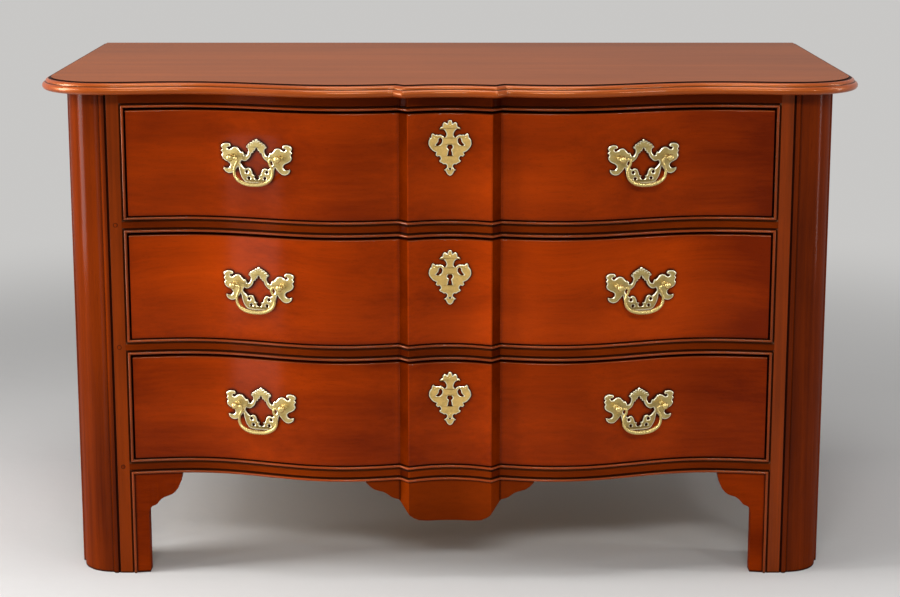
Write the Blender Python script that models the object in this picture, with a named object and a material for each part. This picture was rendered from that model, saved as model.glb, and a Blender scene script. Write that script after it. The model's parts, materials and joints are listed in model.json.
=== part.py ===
"""Chest of three long drawers with a serpentine front and a dished centre block.

The front posts run down to the floor as feet. Each has a quarter-round corner
between two reeds. Beaded rails carry three drawers, and each drawer has a pair
of pierced brass bail handles and a brass keyhole plate. Sizes are in metres,
with +Z up, the front towards -Y and the origin on the floor under the centre.
"""

import math

import bmesh
import bpy
import numpy as np
from mathutils import Matrix, Vector

# Whole chest
WIDTH = 1.250
DEPTH = 0.660
HEIGHT = 0.7806
OVERHANG = 0.0381
BACK_OVERHANG = 0.010
CONTACT_GAP = 0.0003

# Heights of the front
FOOT_HEIGHT = 0.1622
RAIL_HEIGHT = 0.024
TOP_RAIL_HEIGHT = 0.0231
DRAWER_NAMES = ("bottom", "middle", "top")

# Serpentine front: reaches are measured ahead of the face of the posts
HOLLOW_PLACE_SHARE = 0.811
CREST_PLACE_SHARE = 0.334
HOLLOW_DEPTH = 0.009
CREST_REACH = 0.039
BLOCK_HALF_WIDTH = 0.0635
BLOCK_RETURN_WIDTH = 0.014
BLOCK_REACH = 0.042
BLOCK_DISH = 0.015
RETURN_CORNER_REACH = 0.027

# Top board
TOP_THICKNESS = 0.019
TOP_CORNER_RADIUS = 0.103
TOP_BLOCK_SIDE_GROWTH = 0.007
TOP_EDGE_INSET = 0.0139
TOP_LIP_DROP = 0.0014
TOP_OVOLO_INSET = 0.0035
TOP_OVOLO_FOOT = 0.0078
TOP_BELLY_RADIUS = 0.0052

# Front posts
COCK_BEAD_WIDTH = 0.0042
COCK_BEAD_RISE = 0.0021
QUIRK_WIDTH = 0.0030
QUIRK_DEPTH = 0.0016
STILE_WIDTH = 0.0178
GROOVE_WIDTH = 0.0042
GROOVE_DEPTH = 0.0024
REED_WIDTH = 0.0062
REED_RISE = 0.0012
CORNER_SPAN = 0.0581
CORNER_RADIUS = 0.0525
POST_SIDE_DEPTH = 0.085
POST_STILE_THICKNESS = 0.040
POST_LEG_THICKNESS = 0.045

# Carcase boards
SIDE_THICKNESS = 0.018
SIDE_SETBACK = 0.0015
REAR_POST_WIDTH = 0.045
REAR_POST_DEPTH = 0.045
BACK_THICKNESS = 0.012
BACK_SETBACK = 0.010
DUST_BOARD_THICKNESS = 0.008
RAIL_DEPTH = 0.058

# Drawer runners, guides and kickers
RUNNER_REACH = 0.080
RUNNER_HEIGHT = 0.022
GUIDE_HEIGHT = 0.014
GUIDE_CLEARANCE = 0.001

# Foot brackets and centre pendant
BRACKET_WIDTH = 0.0735
BRACKET_STRIP_WIDTH = 0.0202
BRACKET_THICKNESS = 0.026
BRACKET_SETBACK = 0.0012
BRACKET_SCROLL_WIDTH_SHARES = (0.294, 0.347, 0.469, 0.545, 0.673, 0.907, 1.0)
BRACKET_SCROLL_HEIGHT_SHARES = (0.609, 0.643, 0.668, 0.703, 0.746, 0.805, 0.905)
PENDANT_HALF_WIDTH = 0.130
PENDANT_DROP = 0.0660
PENDANT_BACK_REACH = 0.012
PENDANT_PLACE_SHARES = (0.12, 0.28, 0.40, 0.50, 0.595, 0.612, 0.725, 0.79, 0.89, 1.0)
PENDANT_DROP_SHARES = (1.0, 0.985, 0.93, 0.76, 0.52, 0.47, 0.415, 0.31, 0.26, 0.14)

# Drawers
DRAWER_SIDE_GAP = 0.0023
DRAWER_TOP_GAP = 0.0035
DRAWER_FOOT_GAP = 0.0010
FRONT_INNER_SETBACK = 0.030
FRONT_EDGE_CHAMFER = 0.0012
DRAWER_SIDE_INSET = 0.0024
DRAWER_SIDE_THICKNESS = 0.012
DRAWER_SIDE_TOP_GAP = 0.008
DRAWER_BACK_THICKNESS = 0.012
DRAWER_BACK_CLEARANCE = 0.009
DRAWER_BOTTOM_THICKNESS = 0.007
DRAWER_BOTTOM_RAISE = 0.010

# Bail handles
HANDLE_PLACE_SHARE = 0.5908
HANDLE_RISES = (0.008, 0.006, 0.011)
PLATE_HALF_WIDTH = 0.0567
PLATE_THICKNESS = 0.002
BAIL_POST_SPACING = 0.076
BAIL_STANDOFF = 0.014
POST_NECK_RADIUS = 0.0028
POST_COLLAR_RADIUS = 0.0046
POST_HEAD_RADIUS = 0.0050
COLLAR_LENGTH = 0.0017
NECK_START = 0.0035
HEAD_BACK_REACH = 0.0047
HEAD_SHOULDER_REACH = 0.00255
HEAD_FRONT_EDGE_REACH = 0.0017
HEAD_TIP_REACH = 0.00425
HEAD_TIP_RADIUS = 0.00275
BAIL_PIN_RADIUS = 0.0015
BAIL_PIN_CLEARANCE = 0.0003
BAIL_PIN_DEPTH = 0.0030
BAIL_HALF_WIDTH = 0.0322
BAIL_DROP = 0.0410
BAIL_ARM_RADIUS = 0.0018
BAIL_GRIP_RADIUS = 0.0030
SHANK_RADIUS = 0.0025
SHANK_CLEARANCE = 0.0005
NUT_RADIUS = 0.0055
NUT_THICKNESS = 0.004
SHANK_END = 0.003
LOBE_HOLE_RADIUS = 0.0023

# Keyhole plates
KEYPLATE_RISES = (0.0235, 0.0220, 0.0287)
KEYPLATE_HEIGHT = 0.0836
KEYPLATE_THICKNESS = 0.0018
KEYHOLE_RADIUS = 0.0041

# Cuts run past the faces that they cut by this much
CUT_OVERRUN = 0.004

# Outline of a handle plate's right half, in shares of the plate's half width
PLATE_OUTLINE_SHARES = (
    (0.000, 0.480), (0.067, 0.385), (0.148, 0.368), (0.229, 0.296), (0.266, 0.242),
    (0.222, 0.188), (0.236, 0.104), (0.303, 0.030), (0.362, 0.046), (0.377, 0.099),
    (0.437, 0.125), (0.497, 0.208), (0.586, 0.250), (0.674, 0.242), (0.748, 0.198),
    (0.804, 0.229), (0.758, 0.284), (0.741, 0.335), (0.794, 0.369), (0.912, 0.374),
    (0.979, 0.337), (1.000, 0.259), (0.970, 0.199), (1.000, 0.145), (0.970, 0.085),
    (0.986, 0.028), (0.956, -0.060), (0.882, -0.115), (0.794, -0.157), (0.757, -0.219),
    (0.778, -0.287), (0.852, -0.326), (0.942, -0.298), (0.926, -0.363), (0.852, -0.434),
    (0.723, -0.441), (0.635, -0.370), (0.556, -0.273), (0.517, -0.238), (0.497, -0.309),
    (0.467, -0.450), (0.400, -0.591), (0.326, -0.670), (0.176, -0.702), (0.000, -0.702),
)
# Right half of the diamond opening inside the plate, from its top to the small ring below
PLATE_WINDOW_SHARES = (
    (0.000, 0.208), (0.060, 0.146), (0.134, 0.062), (0.236, -0.074), (0.340, -0.125),
    (0.430, -0.109), (0.467, -0.206), (0.370, -0.342), (0.310, -0.370), (0.192, -0.358),
    (0.134, -0.425), (0.097, -0.538), (0.046, -0.543), (0.063, -0.591), (0.039, -0.631),
    (0.000, -0.646),
)
# The two round holes in each lower lobe
LOBE_HOLE_SHARES = ((0.270, -0.427), (0.215, -0.614))

# Outline of a keyhole plate's right half, in shares of its height, from the keyhole's centre
KEYPLATE_OUTLINE_SHARES = (
    (0.000, 0.486), (0.033, 0.456), (0.042, 0.422), (0.068, 0.445), (0.105, 0.449),
    (0.128, 0.419), (0.128, 0.384), (0.173, 0.373), (0.184, 0.312), (0.102, 0.317),
    (0.066, 0.277), (0.072, 0.237), (0.056, 0.207), (0.079, 0.170), (0.140, 0.211),
    (0.230, 0.215), (0.268, 0.211), (0.286, 0.268), (0.321, 0.249), (0.340, 0.177),
    (0.370, 0.140), (0.384, 0.086), (0.377, 0.033), (0.335, -0.026), (0.230, -0.095),
    (0.272, -0.135), (0.249, -0.161), (0.170, -0.184), (0.200, -0.230), (0.158, -0.291),
    (0.083, -0.321), (0.079, -0.358), (0.114, -0.410), (0.072, -0.441), (0.049, -0.482),
    (0.000, -0.514),
)
# Comma cut in each shoulder of the keyhole plate
COMMA_CUT_SHARES = (
    (0.173, 0.177), (0.203, 0.147), (0.211, 0.102), (0.260, 0.042), (0.230, 0.023),
    (0.170, 0.049), (0.140, 0.095), (0.144, 0.147),
)
# Lower part of the keyhole, from its neck down to its flared foot
KEYHOLE_SLOT_SHARES = ((0.036, -0.032), (0.045, -0.100), (0.044, -0.160), (0.056, -0.182))

# Middle line of a bail's right half: places in shares of its half width and of its drop
BAIL_PLACE_SHARES = (1.0, 0.92, 0.83, 0.81, 0.88, 0.97, 1.0, 0.95, 0.80, 0.56, 0.28, 0.0)
BAIL_DROP_SHARES = (0.0, -0.03, 0.05, 0.18, 0.34, 0.50, 0.66, 0.80, 0.90, 0.96, 0.99, 1.0)
BAIL_GRIP_SHARES = (0.0, 0.0, 0.1, 0.2, 0.2, 0.2, 0.25, 0.4, 0.6, 0.85, 0.97, 1.0)

# Fineness of the round work
SHARP_ANGLE = math.radians(35)
POST_SPAN_STEPS = 3
WAVE_STEPS = 6
CREST_STEPS = 2
DISH_STEPS = 2
BEAD_STEPS = 3
CORNER_STEPS = 8
TOP_CORNER_STEPS = 6
WIRE_SIDES = 8
TURNED_SIDES = 8
NUT_SIDES = 6
HOLE_SIDES = 8

# Places worked out from the driving dimensions
CASE_HALF_WIDTH = WIDTH / 2 - OVERHANG
FACE_Y = -DEPTH / 2 + OVERHANG + BLOCK_REACH
BACK_Y = DEPTH / 2 - BACK_OVERHANG
TOP_UNDERSIDE_Z = HEIGHT - TOP_THICKNESS
TOP_RAIL_Z = TOP_UNDERSIDE_Z - CONTACT_GAP - TOP_RAIL_HEIGHT
OPENING_HEIGHT = (TOP_RAIL_Z - FOOT_HEIGHT) / len(DRAWER_NAMES) - RAIL_HEIGHT
DRAWER_SIDE_HEIGHT = OPENING_HEIGHT - DRAWER_SIDE_TOP_GAP
POST_FACE_WIDTH = (
    COCK_BEAD_WIDTH + QUIRK_WIDTH + STILE_WIDTH + GROOVE_WIDTH + REED_WIDTH + CORNER_SPAN
)
OPENING_HALF_WIDTH = CASE_HALF_WIDTH - POST_FACE_WIDTH
HOLLOW_X = OPENING_HALF_WIDTH * HOLLOW_PLACE_SHARE
CREST_X = OPENING_HALF_WIDTH * CREST_PLACE_SHARE
RAIL_BACK_Y = FACE_Y + RAIL_DEPTH
BACK_BOARD_Y = BACK_Y - BACK_SETBACK - BACK_THICKNESS
INNER_HALF_WIDTH = CASE_HALF_WIDTH - POST_LEG_THICKNESS - CONTACT_GAP
DRAWER_HALF_WIDTH = OPENING_HALF_WIDTH - DRAWER_SIDE_GAP
DRAWER_BOX_HALF_WIDTH = DRAWER_HALF_WIDTH - DRAWER_SIDE_INSET
FRONT_INNER_Y = FACE_Y + FRONT_INNER_SETBACK
DRAWER_BACK_Y = BACK_BOARD_Y - DRAWER_BACK_CLEARANCE

MATERIALS = {
    "show_wood": ((0.27, 0.045, 0.012), 0.30, 0.0),
    "post_wood": ((0.30, 0.058, 0.014), 0.30, 0.0),
    "top_wood": ((0.33, 0.085, 0.026), 0.28, 0.0),
    "drawer_wood": ((0.52, 0.36, 0.20), 0.60, 0.0),
    "brass": ((0.78, 0.66, 0.33), 0.28, 1.0),
}


def clear_scene():
    for thing in list(bpy.data.objects):
        bpy.data.objects.remove(thing, do_unlink=True)


def make_material(name):
    colour, roughness, metallic = MATERIALS[name]
    material = bpy.data.materials.new(name)
    material.use_nodes = True
    shader = material.node_tree.nodes["Principled BSDF"]
    shader.inputs["Base Color"].default_value = (*colour, 1.0)
    shader.inputs["Roughness"].default_value = roughness
    shader.inputs["Metallic"].default_value = metallic
    return material


def make_empty(name, location):
    empty = bpy.data.objects.new(name, None)
    empty.location = location
    bpy.context.scene.collection.objects.link(empty)
    return empty


def add_piece(name, mesh, finish, location=(0, 0, 0), turn=0.0, parent=None):
    """Show a mesh as a named piece in its own finish, under a parent if it has one."""
    piece = bpy.data.objects.new(name, mesh)
    piece.location = location
    piece.rotation_euler = (0, 0, turn)
    piece.parent = parent
    bpy.context.scene.collection.objects.link(piece)
    if piece.data.materials:
        piece.data.materials[0] = make_material(finish)
    else:
        piece.data.materials.append(make_material(finish))
    return piece


def finish_mesh(name, shape, smooth=False):
    bmesh.ops.recalc_face_normals(shape, faces=shape.faces)
    mesh = bpy.data.meshes.new(name)
    shape.to_mesh(mesh)
    shape.free()
    if smooth:
        mesh.shade_smooth()
        mesh.set_sharp_from_angle(angle=SHARP_ANGLE)
    return mesh


def loft(name, rings, smooth=False):
    """Join rings of matching points and cap both ends."""
    shape = bmesh.new()
    rows = [[shape.verts.new(point) for point in ring] for ring in rings]
    for row, following in zip(rows, rows[1:]):
        for index in range(len(row)):
            after = (index + 1) % len(row)
            shape.faces.new((row[index], row[after], following[after], following[index]))
    shape.faces.new(rows[0])
    shape.faces.new(rows[-1])
    return finish_mesh(name, shape, smooth)


def box(name, low, high):
    """A board between two corners."""
    shape = bmesh.new()
    bmesh.ops.create_cube(shape, size=1)
    middle = (Vector(low) + Vector(high)) / 2
    size = Vector(high) - Vector(low)
    bmesh.ops.scale(shape, verts=shape.verts, vec=size)
    bmesh.ops.translate(shape, verts=shape.verts, vec=middle)
    return finish_mesh(name, shape)


def arc(centre, radius, start, end, steps):
    """Points of an arc, from the start angle to the end angle, in radians."""
    angles = np.linspace(start, end, steps + 1)
    return [(centre[0] + radius * math.cos(a), centre[1] + radius * math.sin(a)) for a in angles]


def bump(start, width, rise, steps):
    """A rounded bead on a flat, as (place along the flat, height above it)."""
    angles = np.linspace(0, math.pi, steps + 1)
    return [(start + width / 2 * (1 - math.cos(a)), rise * math.sin(a)) for a in angles]


def offset_line(points, distance, closed=False, ends_square=False):
    """Move an outline sideways by mitred corners, to the right of its direction."""
    line = np.array(points, dtype=float)
    count = len(line)
    steps = np.roll(line, -1, axis=0) - line
    if not closed:
        steps[-1] = steps[-2]
    steps /= np.linalg.norm(steps, axis=1)[:, None]
    normals = np.column_stack((steps[:, 1], -steps[:, 0]))
    before = np.roll(normals, 1, axis=0)
    if not closed:
        before[0] = normals[0]
        normals[-1] = before[-1]
    moved = []
    for index in range(count):
        pointing = before[index] + normals[index]
        pointing /= np.linalg.norm(pointing)
        if ends_square and index in (0, count - 1):
            moved.append(line[index] + np.array((0.0, -distance)))
        else:
            moved.append(line[index] + pointing * distance / pointing.dot(normals[index]))
    return [tuple(point) for point in moved]


# The serpentine line

def half_stations(growth=0.0):
    """Places across the front from the centre to the post, with the block's own corners."""
    arris = BLOCK_HALF_WIDTH + growth
    corner = arris + BLOCK_RETURN_WIDTH
    places = list(np.linspace(0, arris, DISH_STEPS + 1))
    places += list(np.linspace(corner, CREST_X, CREST_STEPS + 1))
    places += list(np.linspace(CREST_X, HOLLOW_X, WAVE_STEPS + 1))[1:]
    places += list(np.linspace(HOLLOW_X, OPENING_HALF_WIDTH, POST_SPAN_STEPS + 1))[1:]
    return places


def serpentine_reach(x, growth=0.0):
    """How far the front stands ahead of the posts' face at a place across it."""
    place = abs(x)
    arris = BLOCK_HALF_WIDTH + growth
    corner = arris + BLOCK_RETURN_WIDTH
    if place <= arris:
        return BLOCK_REACH - BLOCK_DISH * (1 - (place / arris) ** 2)
    if place <= corner:
        share = (place - arris) / (corner - arris)
        return BLOCK_REACH + (RETURN_CORNER_REACH - BLOCK_REACH) * share
    if place <= CREST_X:
        share = (CREST_X - place) / (CREST_X - corner)
        return CREST_REACH - (CREST_REACH - RETURN_CORNER_REACH) * (1 - math.cos(share * math.pi / 2))
    if place <= HOLLOW_X:
        share = (HOLLOW_X - place) / (HOLLOW_X - CREST_X)
        return -HOLLOW_DEPTH + (CREST_REACH + HOLLOW_DEPTH) * (1 - math.cos(share * math.pi)) / 2
    share = (OPENING_HALF_WIDTH - place) / (OPENING_HALF_WIDTH - HOLLOW_X)
    return -HOLLOW_DEPTH * math.sin(share * math.pi / 2)


def front_line(growth=0.0):
    """The front in plan from left to right, as (x, y)."""
    half = half_stations(growth)
    places = [-x for x in reversed(half[1:])] + half
    return [(x, FACE_Y - serpentine_reach(x, growth)) for x in places]


def trimmed_front(half_width):
    """The front line cut to a half width, with its end points on that width."""
    inner = [point for point in front_line() if abs(point[0]) < half_width - CONTACT_GAP]
    end_y = FACE_Y - faceted_reach(half_width)
    return [(-half_width, end_y)] + inner + [(half_width, end_y)]


def faceted_reach(x):
    """The reach of the front as the straight stretches between its stations hold it."""
    line = front_line()
    return FACE_Y - float(np.interp(x, [p[0] for p in line], [p[1] for p in line]))


# Carcase

def top_outline():
    """Plan of the top's widest line, the belly of its moulding, from the back left round."""
    side = WIDTH / 2
    back = DEPTH / 2
    edge_y = FACE_Y - OVERHANG
    centre_y = edge_y + TOP_CORNER_RADIUS
    centre_x = side - TOP_CORNER_RADIUS
    front = [(x, y - OVERHANG) for x, y in front_line(TOP_BLOCK_SIDE_GROWTH)]
    front = [point for point in front if abs(point[0]) < centre_x - CONTACT_GAP]
    left = arc((-centre_x, centre_y), TOP_CORNER_RADIUS, math.pi, math.pi * 3 / 2, TOP_CORNER_STEPS)
    right = [(-x, y) for x, y in reversed(left)]
    return [(-side, back)] + left + front + right + [(side, back)]


def top_profile():
    """The moulded edge from the top surface down, as (inset from the belly, height)."""
    ovolo_drop = TOP_OVOLO_FOOT - TOP_LIP_DROP
    ovolo_reach = TOP_EDGE_INSET - TOP_OVOLO_INSET - TOP_LIP_DROP
    belly_z = (TOP_THICKNESS - TOP_OVOLO_FOOT) / 2
    points = [(TOP_EDGE_INSET, TOP_THICKNESS)]
    points.append((TOP_EDGE_INSET - TOP_LIP_DROP / 2, TOP_THICKNESS - TOP_LIP_DROP))
    for angle in np.linspace(math.pi / 4, math.pi / 2, BEAD_STEPS):
        inset = TOP_OVOLO_INSET + ovolo_reach * (1 - math.sin(angle))
        points.append((inset, TOP_THICKNESS - TOP_LIP_DROP - ovolo_drop * (1 - math.cos(angle))))
    above = list(np.linspace(math.pi / 3, 0, BEAD_STEPS))
    below = list(np.linspace(0, -math.pi / 2, BEAD_STEPS))
    for angle in above + below[1:]:
        inset = TOP_BELLY_RADIUS * (1 - math.cos(angle))
        points.append((inset, belly_z * (1 + math.sin(angle))))
    return points


def build_top():
    outline = top_outline()
    rings = []
    for inset, height in top_profile():
        ring = offset_line(outline, -inset, closed=True)
        ring[0] = (ring[0][0], DEPTH / 2)
        ring[-1] = (ring[-1][0], DEPTH / 2)
        rings.append([(x, y, height) for x, y in ring])
    add_piece("top", loft("top", rings, smooth=True), "top_wood", (0, 0, TOP_UNDERSIDE_Z))


def post_section():
    """Plan of a front post as (in from the case's side, back from its face)."""
    place = POST_FACE_WIDTH
    line = [(place - along, -rise) for along, rise in bump(0, COCK_BEAD_WIDTH, COCK_BEAD_RISE, BEAD_STEPS)]
    place -= COCK_BEAD_WIDTH
    line.append((place - QUIRK_WIDTH / 2, QUIRK_DEPTH))
    place -= QUIRK_WIDTH
    line.append((place, 0))
    place -= STILE_WIDTH
    line.append((place, 0))
    line.append((place - GROOVE_WIDTH / 2, GROOVE_DEPTH))
    place -= GROOVE_WIDTH
    reed = [(place - along, -rise) for along, rise in bump(0, REED_WIDTH, REED_RISE, BEAD_STEPS)]
    line += reed
    corner = arc((CORNER_SPAN - GROOVE_WIDTH / 2, CORNER_SPAN - GROOVE_WIDTH / 2), CORNER_RADIUS,
                 -math.pi / 2, -math.pi, CORNER_STEPS)
    groove = (CORNER_SPAN - GROOVE_WIDTH / 4, GROOVE_DEPTH)
    line += [groove] + corner + [(groove[1], groove[0])]
    line += [(back, along) for along, back in reversed(reed)]
    line.append((GROOVE_DEPTH, CORNER_SPAN + REED_WIDTH + GROOVE_WIDTH / 2))
    line.append((0, CORNER_SPAN + REED_WIDTH + GROOVE_WIDTH))
    line.append((0, POST_SIDE_DEPTH))
    line.append((POST_LEG_THICKNESS, POST_SIDE_DEPTH))
    line.append((POST_LEG_THICKNESS, POST_STILE_THICKNESS))
    line.append((POST_FACE_WIDTH, POST_STILE_THICKNESS))
    return line


def build_front_post(side, side_name):
    height = TOP_UNDERSIDE_Z - CONTACT_GAP
    rings = []
    for z in (0, height):
        rings.append([(-side * inward, back, z) for inward, back in post_section()])
    name = f"front_post_{side_name}"
    add_piece(name, loft(name, rings, smooth=True), "post_wood", (side * CASE_HALF_WIDTH, FACE_Y, 0))


def build_rear_post(side, side_name):
    outer = side * CASE_HALF_WIDTH
    inner = side * (CASE_HALF_WIDTH - REAR_POST_WIDTH)
    name = f"rear_post_{side_name}"
    low = (min(outer, inner), BACK_Y - REAR_POST_DEPTH, 0)
    high = (max(outer, inner), BACK_Y, TOP_UNDERSIDE_Z - CONTACT_GAP)
    add_piece(name, box(name, low, high), "post_wood")


def build_side(side, side_name):
    outer = side * (CASE_HALF_WIDTH - SIDE_SETBACK)
    inner = side * (CASE_HALF_WIDTH - SIDE_SETBACK - SIDE_THICKNESS)
    name = f"side_{side_name}"
    low = (min(outer, inner), FACE_Y + POST_SIDE_DEPTH + CONTACT_GAP, FOOT_HEIGHT)
    high = (max(outer, inner), BACK_Y - REAR_POST_DEPTH - CONTACT_GAP, TOP_UNDERSIDE_Z - CONTACT_GAP)
    add_piece(name, box(name, low, high), "show_wood")


def build_back():
    half = CASE_HALF_WIDTH - REAR_POST_WIDTH - CONTACT_GAP
    low = (-half, BACK_BOARD_Y, FOOT_HEIGHT)
    high = (half, BACK_BOARD_Y + BACK_THICKNESS, TOP_UNDERSIDE_Z - CONTACT_GAP)
    add_piece("back_board", box("back_board", low, high), "drawer_wood")


def build_dust_board():
    low = (-INNER_HALF_WIDTH, RAIL_BACK_Y + CONTACT_GAP, 0)
    high = (INNER_HALF_WIDTH, BACK_BOARD_Y - CONTACT_GAP, DUST_BOARD_THICKNESS)
    level = FOOT_HEIGHT + RAIL_HEIGHT - RUNNER_HEIGHT - CONTACT_GAP - DUST_BOARD_THICKNESS
    add_piece("dust_board", box("dust_board", low, high), "drawer_wood", (0, 0, level))


def rail_section(height, bead_above):
    """Front of a rail from its lower edge up, as (reach, height), with its beads."""
    beads = [(rise, z) for z, rise in bump(0, COCK_BEAD_WIDTH, COCK_BEAD_RISE, BEAD_STEPS)]
    lower = beads + [(-QUIRK_DEPTH, COCK_BEAD_WIDTH + QUIRK_WIDTH / 2), (0, COCK_BEAD_WIDTH + QUIRK_WIDTH)]
    if not bead_above:
        return lower + [(0, height)]
    return lower + [(reach, height - z) for reach, z in reversed(lower)]


def build_rail(name, bottom, height, bead_above=True):
    line = trimmed_front(OPENING_HALF_WIDTH - CONTACT_GAP)
    section = rail_section(height, bead_above)
    strips = [offset_line(line, reach, ends_square=True) for reach, _ in section]
    rings = []
    for index, (x, _) in enumerate(line):
        ring = [(*strip[index], z) for strip, (_, z) in zip(strips, section)]
        ring += [(x, RAIL_BACK_Y, height), (x, RAIL_BACK_Y, 0)]
        rings.append(ring)
    add_piece(name, loft(name, rings, smooth=True), "show_wood", (0, 0, bottom))


def opening_floor(row):
    """Height of the rail that drawer number row, counted from 0 below, stands on."""
    return FOOT_HEIGHT + RAIL_HEIGHT + row * (RAIL_HEIGHT + OPENING_HEIGHT)


def build_rails():
    build_rail("bottom_rail", FOOT_HEIGHT, RAIL_HEIGHT)
    build_rail("lower_divider", opening_floor(1) - RAIL_HEIGHT, RAIL_HEIGHT)
    build_rail("upper_divider", opening_floor(2) - RAIL_HEIGHT, RAIL_HEIGHT)
    build_rail("top_rail", TOP_RAIL_Z, TOP_RAIL_HEIGHT, bead_above=False)


def build_runners(row, side, side_name):
    """The strip that a drawer slides on, and the guide strip that keeps it straight."""
    inner = INNER_HALF_WIDTH - RUNNER_REACH
    guide_inner = DRAWER_BOX_HALF_WIDTH + GUIDE_CLEARANCE
    level = opening_floor(row)
    front = RAIL_BACK_Y + CONTACT_GAP
    back = BACK_BOARD_Y - CONTACT_GAP
    for name, reach, low_z, high_z in (
        (f"{DRAWER_NAMES[row]}_runner_{side_name}", inner, -RUNNER_HEIGHT, 0),
        (f"{DRAWER_NAMES[row]}_guide_{side_name}", guide_inner, CONTACT_GAP, GUIDE_HEIGHT),
    ):
        ends = sorted((side * reach, side * INNER_HALF_WIDTH))
        strip = box(name, (ends[0], front, low_z), (ends[1], back, high_z))
        add_piece(name, strip, "drawer_wood", (0, 0, level))


def build_kicker(side, side_name):
    """The strip under the top that stops the top drawer from tipping."""
    ends = sorted((side * (INNER_HALF_WIDTH - RUNNER_REACH), side * INNER_HALF_WIDTH))
    name = f"kicker_{side_name}"
    low = (ends[0], RAIL_BACK_Y + CONTACT_GAP, -RUNNER_HEIGHT)
    high = (ends[1], BACK_BOARD_Y - CONTACT_GAP, 0)
    add_piece(name, box(name, low, high), "drawer_wood", (0, 0, TOP_UNDERSIDE_Z - CONTACT_GAP))


def build_bracket(side, side_name):
    """Scrolled bracket between a front foot and the bottom rail."""
    outer = OPENING_HALF_WIDTH - CONTACT_GAP
    top = FOOT_HEIGHT - CONTACT_GAP
    places = [0, BRACKET_STRIP_WIDTH] + [share * BRACKET_WIDTH for share in BRACKET_SCROLL_WIDTH_SHARES]
    heights = [0, 0] + [share * FOOT_HEIGHT for share in BRACKET_SCROLL_HEIGHT_SHARES]
    rings = []
    for place, bottom in zip(places, heights):
        x = outer - place
        front = FACE_Y - faceted_reach(x) + BRACKET_SETBACK
        back = FACE_Y + BRACKET_THICKNESS
        rings.append([(side * x, front, top), (side * x, front, bottom),
                      (side * x, back, bottom), (side * x, back, top)])
    name = f"foot_bracket_{side_name}"
    add_piece(name, loft(name, rings), "show_wood")


def build_pendant():
    """Shaped drop under the centre block, with a stepped wing on each side."""
    top = FOOT_HEIGHT - CONTACT_GAP
    shares = dict(zip(PENDANT_PLACE_SHARES, PENDANT_DROP_SHARES))
    half = [(share * PENDANT_HALF_WIDTH, drop * PENDANT_DROP) for share, drop in shares.items()]
    half.append((0, PENDANT_DROP))
    breaks = (BLOCK_HALF_WIDTH, BLOCK_HALF_WIDTH + BLOCK_RETURN_WIDTH)
    drops = sorted(half)
    for place in breaks:
        drop = float(np.interp(place, [p[0] for p in drops], [p[1] for p in drops]))
        half.append((place, drop))
    half = sorted(set(half))
    line = [(-x, drop) for x, drop in reversed(half) if x > 0] + half
    rings = []
    for x, drop in line:
        front = FACE_Y - faceted_reach(x) + BRACKET_SETBACK
        back = FACE_Y + PENDANT_BACK_REACH
        rings.append([(x, front, top), (x, front, top - drop), (x, back, top - drop), (x, back, top)])
    add_piece("centre_pendant", loft("centre_pendant", rings), "show_wood")


# Handles and keyhole plates

def mirrored(half):
    """A closed outline from its right half, which starts and ends on the middle line."""
    return half + [(-x, y) for x, y in reversed(half[1:-1])]


def scaled(shares, size):
    return [(x * size, y * size) for x, y in shares]


def pierced_plate(outlines, thickness):
    """A flat plate from outlines in (x, z), its back on y = 0 and its face towards -Y."""
    shape = bmesh.new()
    edges = []
    for outline in outlines:
        corners = [shape.verts.new((x, 0, z)) for x, z in outline]
        edges += [shape.edges.new(pair) for pair in zip(corners, corners[1:] + corners[:1])]
    bmesh.ops.triangle_fill(shape, use_beauty=True, edges=edges)
    grown = bmesh.ops.extrude_face_region(shape, geom=list(shape.faces))
    raised = [item for item in grown["geom"] if isinstance(item, bmesh.types.BMVert)]
    bmesh.ops.translate(shape, verts=raised, vec=(0, -thickness, 0))
    return finish_mesh("plate", shape)


def turned(profile, sides):
    """A turned solid about the Y axis, from (radius, y) pairs."""
    rings = []
    for radius, y in profile:
        angles = [math.tau * step / sides for step in range(sides)]
        rings.append([(radius * math.cos(a), y, radius * math.sin(a)) for a in angles])
    return loft("turned", rings)


def combine(mesh, others, operation):
    """The mesh after a Boolean with each of the others, as (mesh, matrix) pairs."""
    base = bpy.data.objects.new("base", mesh)
    bpy.context.scene.collection.objects.link(base)
    helpers = []
    for other, place in others:
        helper = bpy.data.objects.new("helper", other)
        helper.matrix_world = place
        helper.hide_render = True
        helper.display_type = "WIRE"
        bpy.context.scene.collection.objects.link(helper)
        change = base.modifiers.new("change", "BOOLEAN")
        change.operation = operation
        change.object = helper
        helpers.append(helper)
    bpy.context.view_layer.update()
    changed = bpy.data.meshes.new_from_object(base.evaluated_get(bpy.context.evaluated_depsgraph_get()))
    for thing in helpers + [base]:
        bpy.data.objects.remove(thing, do_unlink=True)
    return changed


def plate_seat():
    """Where a right-hand plate's back rests: its middle, and its turn about Z."""
    centre = OPENING_HALF_WIDTH * HANDLE_PLACE_SHARE
    near, far = centre - PLATE_HALF_WIDTH, centre + PLATE_HALF_WIDTH
    near_y, far_y = FACE_Y - faceted_reach(near), FACE_Y - faceted_reach(far)
    slope = (far_y - near_y) / (far - near)
    places = [x for x, _ in front_line() if near < x < far]
    proud = [near_y + slope * (x - near) - (FACE_Y - faceted_reach(x)) for x in places]
    back = near_y + slope * (centre - near) - max(0, *proud) - CONTACT_GAP / math.cos(math.atan(slope))
    return centre, back, math.atan(slope)


def nut_place(post):
    """How far behind a right-hand plate the nut of a post sits, along the post."""
    centre, back, turn = plate_seat()
    wood = (FRONT_INNER_Y - back - post * math.sin(turn)) / math.cos(turn)
    return wood + NUT_RADIUS * math.tan(abs(turn)) + CONTACT_GAP


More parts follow.
